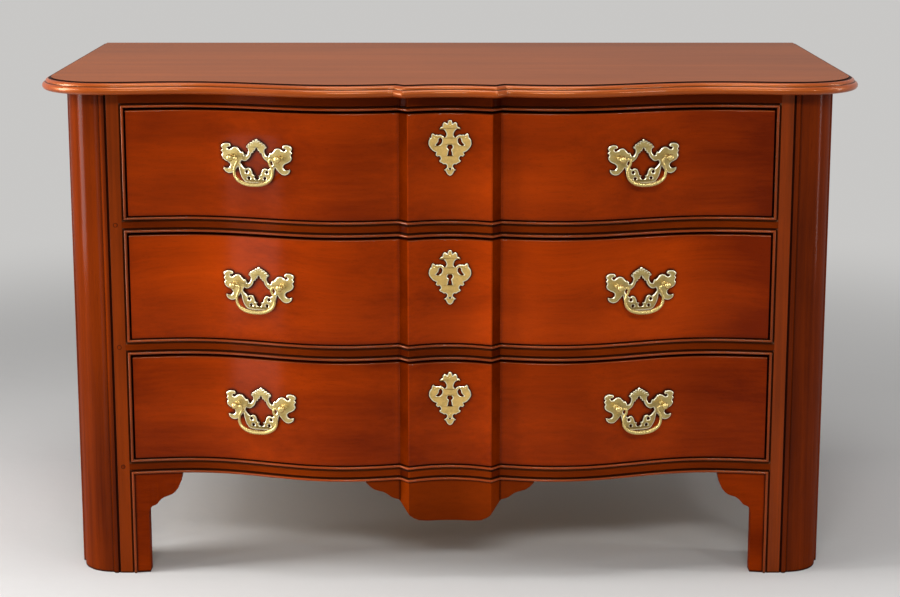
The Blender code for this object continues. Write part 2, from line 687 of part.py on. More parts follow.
def bail_post_profile(nut_start):
    """Turned post, from its threaded end inside the drawer to its head, as (radius, y)."""
    head = -PLATE_THICKNESS - BAIL_STANDOFF
    return [
        (SHANK_RADIUS, nut_start + NUT_THICKNESS + SHANK_END),
        (SHANK_RADIUS, -PLATE_THICKNESS / 2),
        (POST_COLLAR_RADIUS, -PLATE_THICKNESS / 2),
        (POST_COLLAR_RADIUS, -PLATE_THICKNESS - COLLAR_LENGTH),
        (POST_NECK_RADIUS, -PLATE_THICKNESS - NECK_START),
        (POST_NECK_RADIUS, head + HEAD_BACK_REACH),
        (POST_HEAD_RADIUS, head + HEAD_SHOULDER_REACH),
        (POST_HEAD_RADIUS, head - HEAD_FRONT_EDGE_REACH),
        (HEAD_TIP_RADIUS, head - HEAD_TIP_REACH),
    ]


def handle_plate_mesh(side):
    """Pierced plate with its two posts, their threaded shanks and their nuts."""
    windows = [mirrored(scaled(PLATE_OUTLINE_SHARES, PLATE_HALF_WIDTH))]
    windows.append(mirrored(scaled(PLATE_WINDOW_SHARES, PLATE_HALF_WIDTH)))
    for x, z in scaled(LOBE_HOLE_SHARES, PLATE_HALF_WIDTH):
        windows.append(arc((x, z), LOBE_HOLE_RADIUS, 0, math.tau, HOLE_SIDES)[:-1])
        windows.append(arc((-x, z), LOBE_HOLE_RADIUS, 0, math.tau, HOLE_SIDES)[:-1])
    plate = pierced_plate(windows, PLATE_THICKNESS)
    for place in (-BAIL_POST_SPACING / 2, BAIL_POST_SPACING / 2):
        nut_start = nut_place(side * place)
        nut = turned([(NUT_RADIUS, nut_start + NUT_THICKNESS), (NUT_RADIUS, nut_start)], NUT_SIDES)
        post = turned(bail_post_profile(nut_start), TURNED_SIDES)
        at = Matrix.Translation((place, 0, 0))
        plate = combine(plate, [(post, at), (nut, at)], "UNION")
    bore_radius = BAIL_PIN_RADIUS + BAIL_PIN_CLEARANCE
    bore_end = BAIL_POST_SPACING / 2 - POST_HEAD_RADIUS + BAIL_PIN_DEPTH + BAIL_PIN_CLEARANCE
    bore_start = BAIL_POST_SPACING / 2 - POST_HEAD_RADIUS - CUT_OVERRUN
    bore = turned([(bore_radius, bore_start), (bore_radius, bore_end)], WIRE_SIDES)
    axis_y = -PLATE_THICKNESS - BAIL_STANDOFF
    bores = []
    for quarter in (math.pi / 2, -math.pi / 2):
        bores.append((bore, Matrix.Translation((0, axis_y, 0)) @ Matrix.Rotation(quarter, 4, "Z")))
    return combine(plate, bores, "DIFFERENCE")


def bail_mesh():
    """Swan-neck bail, hanging from a pin at each end, about its pin axis."""
    pin_end = BAIL_POST_SPACING / 2 - POST_HEAD_RADIUS + BAIL_PIN_DEPTH
    half = [(pin_end, 0, BAIL_PIN_RADIUS)]
    for place, drop, grip in zip(BAIL_PLACE_SHARES, BAIL_DROP_SHARES, BAIL_GRIP_SHARES):
        radius = BAIL_ARM_RADIUS + (BAIL_GRIP_RADIUS - BAIL_ARM_RADIUS) * grip
        half.append((place * BAIL_HALF_WIDTH, -drop * BAIL_DROP, radius))
    half[1] = (half[1][0], half[1][1], BAIL_PIN_RADIUS)
    whole = half + [(-x, z, radius) for x, z, radius in reversed(half[:-1])]
    rings = []
    for index, (x, z, radius) in enumerate(whole):
        before = whole[max(index - 1, 0)]
        after = whole[min(index + 1, len(whole) - 1)]
        along = Vector((after[0] - before[0], 0, after[1] - before[1])).normalized()
        depth = Vector((0, 1, 0))
        across = along.cross(depth)
        angles = [math.tau * step / WIRE_SIDES for step in range(WIRE_SIDES)]
        spokes = [math.cos(angle) * across + math.sin(angle) * depth for angle in angles]
        rings.append([Vector((x, 0, z)) + radius * spoke for spoke in spokes])
    return loft("bail", rings, smooth=True)


def keyplate_mesh():
    """Pierced keyhole plate, bent to the dish of the centre block."""
    outlines = [mirrored(scaled(KEYPLATE_OUTLINE_SHARES, KEYPLATE_HEIGHT))]
    comma = scaled(COMMA_CUT_SHARES, KEYPLATE_HEIGHT)
    outlines += [comma, [(-x, z) for x, z in comma]]
    slot = scaled(KEYHOLE_SLOT_SHARES, KEYPLATE_HEIGHT)
    neck = math.asin(min(1, slot[0][0] / KEYHOLE_RADIUS))
    bow = arc((0, 0), KEYHOLE_RADIUS, math.pi * 3 / 2 - neck, -math.pi / 2 + neck, HOLE_SIDES)
    outlines.append(bow + slot[1:] + [(-x, z) for x, z in reversed(slot[1:])])
    plate = pierced_plate(outlines, KEYPLATE_THICKNESS)
    for corner in plate.vertices:
        corner.co.y -= faceted_reach(corner.co.x)
    return plate


# Drawers

def drawer_front_mesh(row):
    """Shaped front, drilled for the shanks of its two handles."""
    height = OPENING_HEIGHT - DRAWER_TOP_GAP - DRAWER_FOOT_GAP
    line = trimmed_front(DRAWER_HALF_WIDTH)
    eased = offset_line(line, -FRONT_EDGE_CHAMFER, ends_square=True)
    rings = []
    for (x, y), (eased_x, eased_y) in zip(line, eased):
        rings.append([
            (eased_x, eased_y, 0), (x, y, FRONT_EDGE_CHAMFER),
            (x, y, height - FRONT_EDGE_CHAMFER), (eased_x, eased_y, height),
            (x, FRONT_INNER_Y, height), (x, FRONT_INNER_Y, 0),
        ])
    board = loft("drawer_front", rings, smooth=True)
    centre, back, turn = plate_seat()
    radius = SHANK_RADIUS + SHANK_CLEARANCE
    drill = turned([(radius, -CUT_OVERRUN), (radius, FRONT_INNER_SETBACK + CREST_REACH)], HOLE_SIDES)
    holes = []
    for side in (-1, 1):
        for post in (-BAIL_POST_SPACING / 2, BAIL_POST_SPACING / 2):
            at = Matrix.Translation((side * centre, back, handle_height(row) - DRAWER_FOOT_GAP))
            at = at @ Matrix.Rotation(side * turn, 4, "Z") @ Matrix.Translation((post, 0, 0))
            holes.append((drill, at))
    return combine(board, holes, "DIFFERENCE")


def handle_height(row):
    """Height of a bail's axis above the floor of its opening."""
    return OPENING_HEIGHT / 2 + HANDLE_RISES[row]


def build_drawer(row, plate_meshes, bail, keyplate):
    row_name = DRAWER_NAMES[row]
    name = f"{row_name}_drawer"
    holder = make_empty(name, (0, 0, opening_floor(row)))
    front = drawer_front_mesh(row)
    add_piece(f"{name}_front", front, "show_wood", (0, 0, DRAWER_FOOT_GAP), parent=holder)
    build_drawer_box(name, holder)
    centre, back, turn = plate_seat()
    for side, side_name in ((-1, "left"), (1, "right")):
        seat = (side * centre, back, handle_height(row))
        plate_name = f"{row_name}_handle_plate_{side_name}"
        add_piece(plate_name, plate_meshes[side].copy(), "brass", seat, side * turn, holder)
        ahead = PLATE_THICKNESS + BAIL_STANDOFF
        axis = (seat[0] + ahead * math.sin(side * turn), seat[1] - ahead * math.cos(turn), seat[2])
        add_piece(f"{row_name}_bail_{side_name}", bail.copy(), "brass", axis, side * turn, holder)
    seat = (0, FACE_Y - CONTACT_GAP, OPENING_HEIGHT / 2 + KEYPLATE_RISES[row])
    add_piece(f"{row_name}_keyhole_plate", keyplate.copy(), "brass", seat, parent=holder)


def build_drawer_box(name, holder):
    """Two sides, a back and a bottom behind the front."""
    front = FRONT_INNER_Y + CONTACT_GAP
    inner = DRAWER_BOX_HALF_WIDTH - DRAWER_SIDE_THICKNESS
    top = DRAWER_SIDE_HEIGHT
    for side, side_name in ((-1, "left"), (1, "right")):
        ends = sorted((side * inner, side * DRAWER_BOX_HALF_WIDTH))
        board = box("side", (ends[0], front, CONTACT_GAP), (ends[1], DRAWER_BACK_Y, top))
        add_piece(f"{name}_side_{side_name}", board, "drawer_wood", parent=holder)
    fit = inner - CONTACT_GAP
    back_low = (-fit, DRAWER_BACK_Y - DRAWER_BACK_THICKNESS, CONTACT_GAP)
    back = box("back", back_low, (fit, DRAWER_BACK_Y, top))
    add_piece(f"{name}_back", back, "drawer_wood", parent=holder)
    floor_back = DRAWER_BACK_Y - DRAWER_BACK_THICKNESS - CONTACT_GAP
    floor = box("bottom", (-fit, front, DRAWER_BOTTOM_RAISE),
                (fit, floor_back, DRAWER_BOTTOM_RAISE + DRAWER_BOTTOM_THICKNESS))
    add_piece(f"{name}_bottom", floor, "drawer_wood", parent=holder)


def main():
    clear_scene()
    build_top()
    build_back()
    build_dust_board()
    build_rails()
    build_pendant()
    for side, side_name in ((-1, "left"), (1, "right")):
        build_front_post(side, side_name)
        build_rear_post(side, side_name)
        build_side(side, side_name)
        build_bracket(side, side_name)
        build_kicker(side, side_name)
        for row in range(len(DRAWER_NAMES)):
            build_runners(row, side, side_name)
    plate_meshes = {side: handle_plate_mesh(side) for side in (-1, 1)}
    bail = bail_mesh()
    keyplate = keyplate_mesh()
    for row in range(len(DRAWER_NAMES)):
        build_drawer(row, plate_meshes, bail, keyplate)


main()
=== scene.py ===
"""Chest of three drawers with a serpentine front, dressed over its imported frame."""

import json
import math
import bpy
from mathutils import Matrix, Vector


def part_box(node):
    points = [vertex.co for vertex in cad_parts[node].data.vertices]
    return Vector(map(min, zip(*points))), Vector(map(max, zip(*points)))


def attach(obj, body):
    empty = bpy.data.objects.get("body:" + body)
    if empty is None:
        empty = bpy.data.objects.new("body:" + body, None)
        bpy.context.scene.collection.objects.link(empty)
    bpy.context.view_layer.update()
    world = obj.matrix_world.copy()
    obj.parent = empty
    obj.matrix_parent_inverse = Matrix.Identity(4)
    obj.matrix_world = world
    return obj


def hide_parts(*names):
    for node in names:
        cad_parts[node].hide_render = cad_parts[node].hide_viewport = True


bl_info = {
    "name": "Serpentine chest of drawers",
    "version": (1, 0, 0),
    "blender": (4, 5, 0),
    "location": "3D View > Sidebar > Chest",
    "description": "Woodwork, brass and stage of a serpentine chest of drawers",
    "category": "Object",
}

import bpy
from mathutils import Matrix, Vector

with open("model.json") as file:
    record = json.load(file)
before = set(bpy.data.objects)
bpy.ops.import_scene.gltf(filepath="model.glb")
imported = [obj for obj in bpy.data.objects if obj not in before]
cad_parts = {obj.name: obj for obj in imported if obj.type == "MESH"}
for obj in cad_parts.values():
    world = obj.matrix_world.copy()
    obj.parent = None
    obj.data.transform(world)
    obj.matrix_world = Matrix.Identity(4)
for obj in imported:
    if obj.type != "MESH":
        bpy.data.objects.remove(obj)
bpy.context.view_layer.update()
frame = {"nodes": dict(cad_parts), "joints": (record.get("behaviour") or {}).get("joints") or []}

X, Y, Z = range(3)
SIDES = ((-1, "left"), (1, "right"))
ROWS = ("bottom", "middle", "top")
RAILS = ("bottom_rail", "lower_divider", "upper_divider", "top_rail")


def low(node, axis):
    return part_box(node)[0][axis]


def high(node, axis):
    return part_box(node)[1][axis]


# Places read from the frame, with the gap and the setback that it was made with
CONTACT_GAP = 0.0003
FRONT_INNER_SETBACK = 0.030
WIDTH = high("top", X) - low("top", X)
DEPTH = high("top", Y) - low("top", Y)
TOP_UNDERSIDE_Z = low("top", Z)
TOP_THICKNESS = high("top", Z) - TOP_UNDERSIDE_Z
OPENING_HALF_WIDTH = high("bottom_rail", X) + CONTACT_GAP
CASE_HALF_WIDTH = high("rear_post_right", X)
FACE_Y = high("bottom_drawer_front", Y) - FRONT_INNER_SETBACK
RAIL_BACK_Y = high("bottom_rail", Y)
FOOT_HEIGHT = low("bottom_rail", Z)
DRAWER_HALF_WIDTH = high("bottom_drawer_front", X)

# The serpentine line, as reaches ahead of the face of the posts
BLOCK_HALF_WIDTH = 0.0635
BLOCK_RETURN_WIDTH = 0.014
BLOCK_REACH = 0.042
BLOCK_DISH = 0.015
RETURN_CORNER_REACH = 0.027
CREST_REACH = 0.039
HOLLOW_DEPTH = 0.009
CREST_X = OPENING_HALF_WIDTH * 0.334
HOLLOW_X = OPENING_HALF_WIDTH * 0.811
SLOPE_STEP = 0.0005
ARRIS_EASE = 0.0012

# Fineness of the shaped work, and the angles up to which it is smooth
DISH_STEPS = 9
CREST_STEPS = 8
WAVE_STEPS = 20
POST_SPAN_STEPS = 7
ROUND_STEPS = 8
TURNED_SIDES = 24
WIRE_SIDES = 4
STILE_ARRIS_STEPS = 5
FRONT_EDGE_STEPS = 3
SCROLL_STEPS = 3
INSET_ROUNDS = 6
HOLE_SIDES = 8
PIN_HOLE_SIDES = 12
PIN_SIDES = 12
PIN_STEPS = 4
NUT_SIDES = 6
PLATE_CURVE_STEPS = 4
BAIL_CURVE_STEPS = 5
PLATE_BEND_CUTS = 8
PLATE_BEND_STEP = 0.004
SMOOTH_ANGLE = math.radians(32)
PLATE_SMOOTH_ANGLE = math.radians(25)
CUSP_ANGLE = math.radians(62)
MERGE_DISTANCE = 0.000001

# How squarely a face has to point along an axis to count as flat
FLAT_SHARE = 0.99
PLATE_FLAT_SHARE = 0.97

# Top board
OVERHANG = 0.0381
TOP_CORNER_RADIUS = 0.103
TOP_BLOCK_SIDE_GROWTH = 0.007
TOP_EDGE_INSET = 0.0139
TOP_LIP_DROP = 0.0014
TOP_TREAD_DROP = TOP_LIP_DROP * 1.15
TOP_LIP_LEAN = TOP_LIP_DROP / 5
TOP_OVOLO_INSET = 0.0050
TOP_OVOLO_FOOT = 0.0067
TOP_OVOLO_START = math.pi / 12
TOP_BELLY_RADIUS = 0.0072
TOP_BELLY_START = math.pi / 2.35
TOP_QUIRK_DEPTH = 0.0016
TOP_ARC_STEPS = 20

# Front posts
BEAD_WIDTH = 0.0042
BEAD_RISE = 0.0021
QUIRK_WIDTH = 0.0030
QUIRK_DEPTH = 0.0016
QUIRK_FLOOR_SHARES = (0.12, 0.34)
RECESS_DEPTH = 0.0030
STILE_WIDTH = 0.0198
STILE_ARRIS = 0.0022
STILE_GROOVE_WIDTH = 0.0022
STILE_GROOVE_FLOOR_SHARES = (0.35, 0.65)
GROOVE_WIDTH = 0.0042
GROOVE_DEPTH = 0.0024
REED_WIDTH = 0.0062
REED_RISE = 0.0012
CORNER_SPAN = 0.0581
CORNER_RADIUS = 0.0525
CORNER_STEPS = 24
POST_SIDE_DEPTH = 0.085
POST_STILE_THICKNESS = 0.040
POST_LEG_THICKNESS = 0.045
FRAME_WIDTH = BEAD_WIDTH + QUIRK_WIDTH
POST_FACE_WIDTH = FRAME_WIDTH + STILE_WIDTH + STILE_GROOVE_WIDTH + REED_WIDTH + CORNER_SPAN
JOINT_GAP = 0.0002
SHADE_DEPTH = 0.0010
FRONT_TRIM = 0.0007

# Brackets and pendant
BRACKET_WIDTH = 0.0735
BRACKET_STRIP_WIDTH = 0.0202
BRACKET_THICKNESS = 0.026
BRACKET_SETBACK = 0.0012
SCROLL_PLACE_SHARES = (0.275, 0.285, 0.302, 0.345, 0.415, 0.451, 0.488, 0.537, 0.61, 0.70, 0.77, 0.835,
                       0.902, 0.951, 0.983, 1.0)
SCROLL_HEIGHT_SHARES = (0.600, 0.622, 0.642, 0.664, 0.676, 0.686, 0.708, 0.733, 0.754, 0.766, 0.779, 0.802,
                        0.840, 0.890, 0.940, 0.985)
PENDANT_HALF_WIDTH = 0.130
PENDANT_DROP = 0.0660
PENDANT_BACK_REACH = 0.012
PENDANT_PLACE_SHARES = (0.0, 0.22, 0.30, 0.37, 0.43, 0.475, 0.515, 0.555, 0.59, 0.612, 0.655, 0.70, 0.74,
                        0.785, 0.845, 0.90, 0.945, 0.98, 1.0)
PENDANT_DROP_SHARES = (1.0, 1.0, 0.99, 0.965, 0.905, 0.83, 0.735, 0.63, 0.54, 0.49, 0.465, 0.42, 0.355,
                       0.29, 0.255, 0.215, 0.15, 0.08, 0.03)

# Handles
PLATE_HALF_WIDTH = 0.0567
LOBE_HOLE_RADIUS = 0.0026
SHANK_RADIUS = 0.0025
SHANK_LENGTH = 0.042
COLLAR_PROFILE = ((0.0046, -0.001), (0.0047, -0.0024), (0.0040, -0.0036), (0.0029, -0.0046),
                  (0.0026, -0.0075))
NECK_RADIUS = 0.0030
NECK_SETBACK = 0.0052
KNOB_RADIUS = 0.0056
KNOB_SETBACK = 0.0046
KNOB_LENGTH = 0.0088
ROUNDED_HEAD_SPAN = (-math.pi / 2 + 0.5, math.pi / 2 - 0.12)
NUT_RADIUS = 0.0055
NUT_ENDS = (0.036, 0.040)
BAIL_POST_SPACING = 0.076
BAIL_STANDOFF = 0.014
BAIL_HALF_WIDTH = 0.0306
BAIL_DROP = 0.0396
BAIL_PIN_RADIUS = 0.0015
BAIL_PIN_DEPTH = 0.0030
POST_HEAD_RADIUS = 0.0050

# Keyhole plates
KEYPLATE_HEIGHT = 0.0836
KEYPLATE_RISES = (0.0235, 0.0220, 0.0287)
KEYHOLE_RADIUS = 0.0043
KEYPLATE_HOLE_DROP = 0.0330
KEYPLATE_HOLE_RADIUS = 0.0016
PIN_RADIUS = 0.0015
PIN_HEIGHT = 0.0008
PIN_FOOT_SHARE = 0.9
PIN_PLACES = ((0, 0.0315), (0, -0.0265), (-0.0235, 0.0135), (0.0235, 0.0135))

# Pegs: how far a peg goes in, and its worn head as (share of its radius, rise)
PEG_DEPTH = 0.002
PEG_HEAD = ((1.0, 0.0001), (0.8, 0.0002), (0.4, 0.0003))
PEG_RIM_SHARE = 0.85

# Right half of a handle plate, in shares of the plate's half width
PLATE_OUTLINE_SHARES = (
    (0.000, 0.492), (0.036, 0.462), (0.024, 0.412), (0.066, 0.446), (0.114, 0.424),
    (0.092, 0.368), (0.134, 0.406), (0.182, 0.382), (0.158, 0.324), (0.202, 0.364),
    (0.248, 0.334), (0.222, 0.278), (0.268, 0.306), (0.290, 0.262), (0.236, 0.228),
    (0.222, 0.188), (0.236, 0.104), (0.303, 0.030), (0.350, 0.038), (0.364, 0.090),
    (0.392, 0.134), (0.432, 0.122), (0.486, 0.182), (0.535, 0.234), (0.604, 0.256),
    (0.682, 0.236), (0.748, 0.190), (0.806, 0.188), (0.836, 0.228), (0.806, 0.262),
    (0.762, 0.258), (0.734, 0.292), (0.762, 0.336), (0.832, 0.352), (0.912, 0.344),
    (0.976, 0.310), (1.000, 0.254), (0.962, 0.199), (1.004, 0.145), (0.962, 0.085),
    (0.988, 0.020), (0.956, -0.060), (0.882, -0.115), (0.790, -0.160), (0.745, -0.222),
    (0.772, -0.292), (0.846, -0.326), (0.942, -0.300), (0.926, -0.368), (0.846, -0.436),
    (0.723, -0.441), (0.635, -0.380), (0.556, -0.290), (0.517, -0.238), (0.497, -0.309),
    (0.467, -0.450), (0.400, -0.591), (0.326, -0.664), (0.176, -0.690), (0.000, -0.690),
)
PLATE_WINDOW_SHARES = (
    (0.000, 0.262), (0.034, 0.226), (0.048, 0.176), (0.086, 0.176), (0.096, 0.122),
    (0.140, 0.112), (0.170, 0.036), (0.236, -0.052), (0.330, -0.108), (0.430, -0.085),
    (0.462, -0.165), (0.430, -0.225), (0.372, -0.286), (0.312, -0.324), (0.250, -0.296),
    (0.186, -0.312), (0.140, -0.385), (0.104, -0.480), (0.050, -0.490), (0.074, -0.545),
    (0.044, -0.590), (0.000, -0.605),
)
LOBE_HOLE_SHARES = ((0.284, -0.398), (0.226, -0.566))

# Right half of a keyhole plate, in shares of its height, from the keyhole's centre
KEYPLATE_OUTLINE_SHARES = (
    (0.000, 0.486), (0.026, 0.476), (0.037, 0.448), (0.048, 0.412), (0.070, 0.438),
    (0.100, 0.446), (0.124, 0.428), (0.130, 0.396), (0.136, 0.366), (0.162, 0.360),
    (0.190, 0.322), (0.142, 0.332), (0.100, 0.310), (0.072, 0.268), (0.062, 0.228),
    (0.072, 0.190), (0.100, 0.168), (0.128, 0.200), (0.172, 0.222), (0.216, 0.217),
    (0.230, 0.224), (0.264, 0.216), (0.286, 0.234), (0.308, 0.254), (0.330, 0.226),
    (0.336, 0.186), (0.368, 0.144), (0.383, 0.088), (0.378, 0.040), (0.340, -0.024),
    (0.296, -0.068), (0.240, -0.092), (0.258, -0.140), (0.228, -0.166), (0.192, -0.160),
    (0.170, -0.184), (0.166, -0.220), (0.196, -0.248), (0.172, -0.276), (0.146, -0.284),
    (0.118, -0.308), (0.074, -0.310), (0.050, -0.345), (0.064, -0.386), (0.108, -0.416),
    (0.072, -0.440), (0.052, -0.482), (0.024, -0.510), (0.000, -0.518),
)
COMMA_CUT_SHARES = (
    (0.173, 0.177), (0.203, 0.147), (0.211, 0.102), (0.260, 0.042), (0.230, 0.023),
    (0.170, 0.049), (0.140, 0.095), (0.144, 0.147),
)
KEYHOLE_SLOT_SHARES = ((0.024, -0.046), (0.034, -0.095), (0.046, -0.152), (0.056, -0.168))

# Right half of a bail, in shares of its half width and of its drop
BAIL_PLACE_SHARES = (1.0, 0.94, 0.87, 0.84, 0.87, 0.94, 0.99, 1.0, 0.97, 0.875, 0.72, 0.50, 0.26, 0.0)
BAIL_DROP_SHARES = (0.0, -0.01, 0.03, 0.096, 0.19, 0.29, 0.41, 0.55, 0.67, 0.79, 0.885, 0.957, 0.992, 1.0)
BAIL_GRIP_SHARES = (0.1, 0.2, 0.25, 0.2, 0.1, 0.1, 0.1, 0.15, 0.25, 0.4, 0.6, 0.85, 0.97, 1.0)

# Finishes: scales are in parts per metre, along and across the grain, and reliefs in metres
DRIFT_SCALES = (1.3, 3.4)
CLOUD_SCALES = (2.4, 5.0)
FIGURE_SCALE = 1.1
FIGURE_SCALE_ACROSS = 26.0
POST_FIGURE_SCALE_ACROSS = 60.0
LINE_SCALES = (5.0, 190.0)
PORE_SCALES = (42.0, 1300.0)
PORE_STOPS = ((0.60, 0.0), (0.72, 1.0))
BAND_STRENGTH = 1.6
LINE_STRENGTH = 0.8
PORE_STRENGTH = 0.25
PORE_TONE = 0.35
POLISH_ROUGHNESS = 0.34
POLISH_GLOW = (1.0, 0.40, 0.12, 1.0)
WOOD_RELIEF = 0.00006
MOULDED_RELIEF = 0.00001
# Painted shade: the polished woods darken towards this colour where ambient occlusion finds other parts close
# by, in the quirks, in the gaps and round the brass
PAINTED_SHADE_COLOUR = (0.012, 0.0022, 0.0006)
PAINTED_SHADE_STOPS = ((0.77, 1.0), (0.985, 0.0))
PAINTED_SHADE_SHARE = 0.9
PAINTED_SHADE_REACH = 0.004
FRONT_PAINTED_SHADE_REACH = 0.007
FAR_END_X = HOLLOW_X * 0.85
PLAIN_DRIFT_SCALES = (0.9, 4.0)
PLAIN_FLOW = 0.09
RING_SPACING = 0.011
RING_STOPS = ((0.42, 0.0), (0.62, 1.0))
RING_STRENGTH = 0.32
FIBRE_SCALES = (14.0, 620.0)
FIBRE_STRENGTH = 0.40
STAIN_STOPS = ((0.45, 0.0), (0.75, 0.4))
PLAIN_RELIEF = 0.0003
BRASS_CLOUD_SCALES = (90, 90, 90)
BRASS_SPECK_SCALES = (700, 700, 700)
BRASS_SCRATCH_SCALES = (1500, 60, 240)
BRASS_RELIEF = 0.0001
WIRE_RELIEF = 0.000015

# Stage
CAMERA_PLACE = (0.0, -3.297, 1.1316)
CAMERA_PITCH = 11.2
CAMERA_LENS = 81.3
CAMERA_SENSOR = 36
CAMERA_SHIFT = -0.06
FLOOR_RADIUS = 40
FLOOR_SIDES = 96
FLOOR_FADE = (0.9, 2.8)
ROOM_COLOUR = (0.16, 0.16, 0.165)
SEEN_RAYS = ("Is Camera Ray", "Is Glossy Ray", "Is Transmission Ray")
CHEST_AIM = (0, -0.2, 0.45)

# Each lamp's name, place, aim, width and height, power in watts and spread in degrees
LAMPS = (
    ("Front key softbox", (0, -3.3, 2.35), CHEST_AIM, (1.7, 0.45), 54, 180),
    ("Left key softbox", (-2.9, -1.95, 1.95), CHEST_AIM, (0.32, 0.32), 12, 180),
    ("Right key softbox", (2.3, -2.65, 1.95), CHEST_AIM, (0.28, 0.28), 12, 180),
    ("Left front strip", (-0.79, -0.87, 0.35), (-0.31, -0.27, 0.35), (0.08, 0.68), 0.075, 60),
    ("Left side softbox", (-2.2, -0.55, 1.05), (-0.56, -0.23, 0.5), (0.58, 2.0), 23, 100),
    ("Right side softbox", (2.15, -0.40, 1.05), (0.56, -0.23, 0.5), (0.15, 2.0), 4.4, 100),
    ("Overhead softbox", (0, -0.3, 2.8), (0, 0, 0.4), (1.6, 1.0), 34, 180),
)


def length_property(name, description, default):
    return bpy.props.FloatProperty(name=name, description=description, default=default, unit="LENGTH")


def colour_property(name, description, default):
    return bpy.props.FloatVectorProperty(name=name, description=description, default=default,
                                         subtype="COLOR")


class ChestSizes(bpy.types.PropertyGroup):
    """Sizes of the small work that a user would change."""

    front_rounding: length_property("Front edge rounding", "Radius along the edges of the drawer fronts",
                                    0.0015)
    bracket_rounding: length_property("Bracket rounding", "Rounding of the sawn edges of the brackets",
                                      0.0009)
    plate_thickness: length_property("Plate thickness", "Thickness of the handle plates", 0.002)
    plate_bevel: length_property("Plate bevel", "Width of the filed edge round the brass plates", 0.0012)
    keyplate_thickness: length_property("Keyhole plate thickness", "Thickness of the keyhole plates", 0.0018)
    bail_arm_radius: length_property("Bail arm radius", "Radius of a bail near its pins", 0.0018)
    bail_grip_radius: length_property("Bail grip radius", "Radius of a bail at the middle of its grip",
                                      0.0034)
    peg_radius: length_property("Peg radius", "Radius of the wooden pegs in the left stile", 0.0034)


class ChestColours(bpy.types.PropertyGroup):
    """Colours of the finishes, as linear light."""

    front_dark: colour_property("Front dark", "Dark tone of the drawer fronts", (0.155, 0.0130, 0.0002))
    front_light: colour_property("Front light", "Light tone of the drawer fronts", (0.450, 0.0470, 0.0004))
    post_dark: colour_property("Post dark", "Dark tone of the posts", (0.095, 0.0100, 0.0003))
    post_light: colour_property("Post light", "Light tone of the posts", (0.330, 0.0400, 0.0006))
    top_dark: colour_property("Top dark", "Dark tone of the top board", (0.160, 0.034, 0.0030))
    top_light: colour_property("Top light", "Light tone of the top board", (0.305, 0.067, 0.0065))
    edge_dark: colour_property("Edge dark", "Dark tone of the top's moulded edge", (0.230, 0.0300, 0.0006))
    edge_light: colour_property("Edge light", "Light tone of the top's moulded edge", (0.420, 0.0660, 0.0012))
    # Old polish: partly real dark polish round the pegs' joints, partly painted shade in the quirks, on the
    # beads' inner sides and under the top's lip
    polish_and_shade_dark: colour_property("Old polish", "Dark polish gathered in the quirks", (0.014, 0.0026, 0.0006))
    inner_dark: colour_property("Inner dark", "Dark tone of the plain inner wood", (0.310, 0.165, 0.062))
    inner_light: colour_property("Inner light", "Light tone of the plain inner wood", (0.560, 0.365, 0.175))
    brass: colour_property("Brass", "Colour of the clean brass", (0.530, 0.405, 0.150))
    keyplate_brass: colour_property("Keyhole plate brass", "Colour of the clean keyhole plates",
                                    (0.790, 0.525, 0.165))
    brass_edge: colour_property("Brass edge", "Colour of the rubbed edges of the brass",
                                (0.820, 0.750, 0.520))
    brass_tarnish: colour_property("Brass tarnish", "Colour of the tarnish on the brass",
                                   (0.150, 0.100, 0.032))
    floor: colour_property("Floor", "Colour of the floor and the background", (0.580, 0.573, 0.562))


# Shapes

def active_piece(name):
    """The piece that the last operator made, under its own name."""
    piece = bpy.context.object
    piece.name = name
    piece.data.name = name
    return piece


def deselect_all():
    if bpy.context.object and bpy.context.object.mode != "OBJECT":
        bpy.ops.object.mode_set(mode="OBJECT")
    bpy.ops.object.select_all(action="DESELECT")


def pick_edges(piece, wanted):
    """Select only the edges whose two ends pass a test, and go into edit mode."""
    bpy.ops.object.mode_set(mode="OBJECT")
    mesh = piece.data
    for group in (mesh.vertices, mesh.edges, mesh.polygons):
        group.foreach_set("select", [False] * len(group))
    for edge in mesh.edges:
        first, second = (mesh.vertices[index].co for index in edge.vertices)
        edge.select = wanted(first, second)
    bpy.context.tool_settings.mesh_select_mode = (False, True, False)
    bpy.ops.object.mode_set(mode="EDIT")


def merge_doubles():
    """Merge the active piece's doubles and point its faces outwards, staying in edit mode."""
    bpy.ops.object.mode_set(mode="EDIT")
    bpy.context.tool_settings.mesh_select_mode = (True, False, False)
    bpy.ops.mesh.select_all(action="SELECT")
    bpy.ops.mesh.remove_doubles(threshold=MERGE_DISTANCE)
    bpy.ops.mesh.normals_make_consistent(inside=False)


def settle_surface(piece, angle=SMOOTH_ANGLE):
    """Close a surface, and smooth what is meant to be round."""
    merge_doubles()
    bpy.ops.object.mode_set(mode="OBJECT")
    bpy.ops.object.shade_smooth_by_angle(angle=angle)
    return piece


def drawn_out(name, rings, angle=SMOOTH_ANGLE):
    """A solid drawn out through rings of matching points, closed at both ends."""
    count = len(rings[0])
    deselect_all()
    bpy.ops.mesh.primitive_circle_add(vertices=count, radius=1, fill_type="NGON")
    piece = active_piece(name)
    first, second = (math.atan2(corner.co.y, corner.co.x) for corner in piece.data.vertices[:2])
    step = (second - first + math.pi) % math.tau - math.pi
    bpy.ops.object.mode_set(mode="EDIT")
    bpy.ops.mesh.select_all(action="SELECT")
    bpy.ops.mesh.extrude_region_move(TRANSFORM_OT_translate={"value": (0, 0, len(rings) - 1)})
    if len(rings) > 2:
        pick_edges(piece, lambda start, end: abs(start.z - end.z) > 0.5)
        bpy.ops.mesh.subdivide(number_cuts=len(rings) - 2)
    bpy.ops.object.mode_set(mode="OBJECT")
    for corner in piece.data.vertices:
        index = round((math.atan2(corner.co.y, corner.co.x) - first) / step) % count
        corner.co = rings[round(corner.co.z)][index]
    return settle_surface(piece, angle)


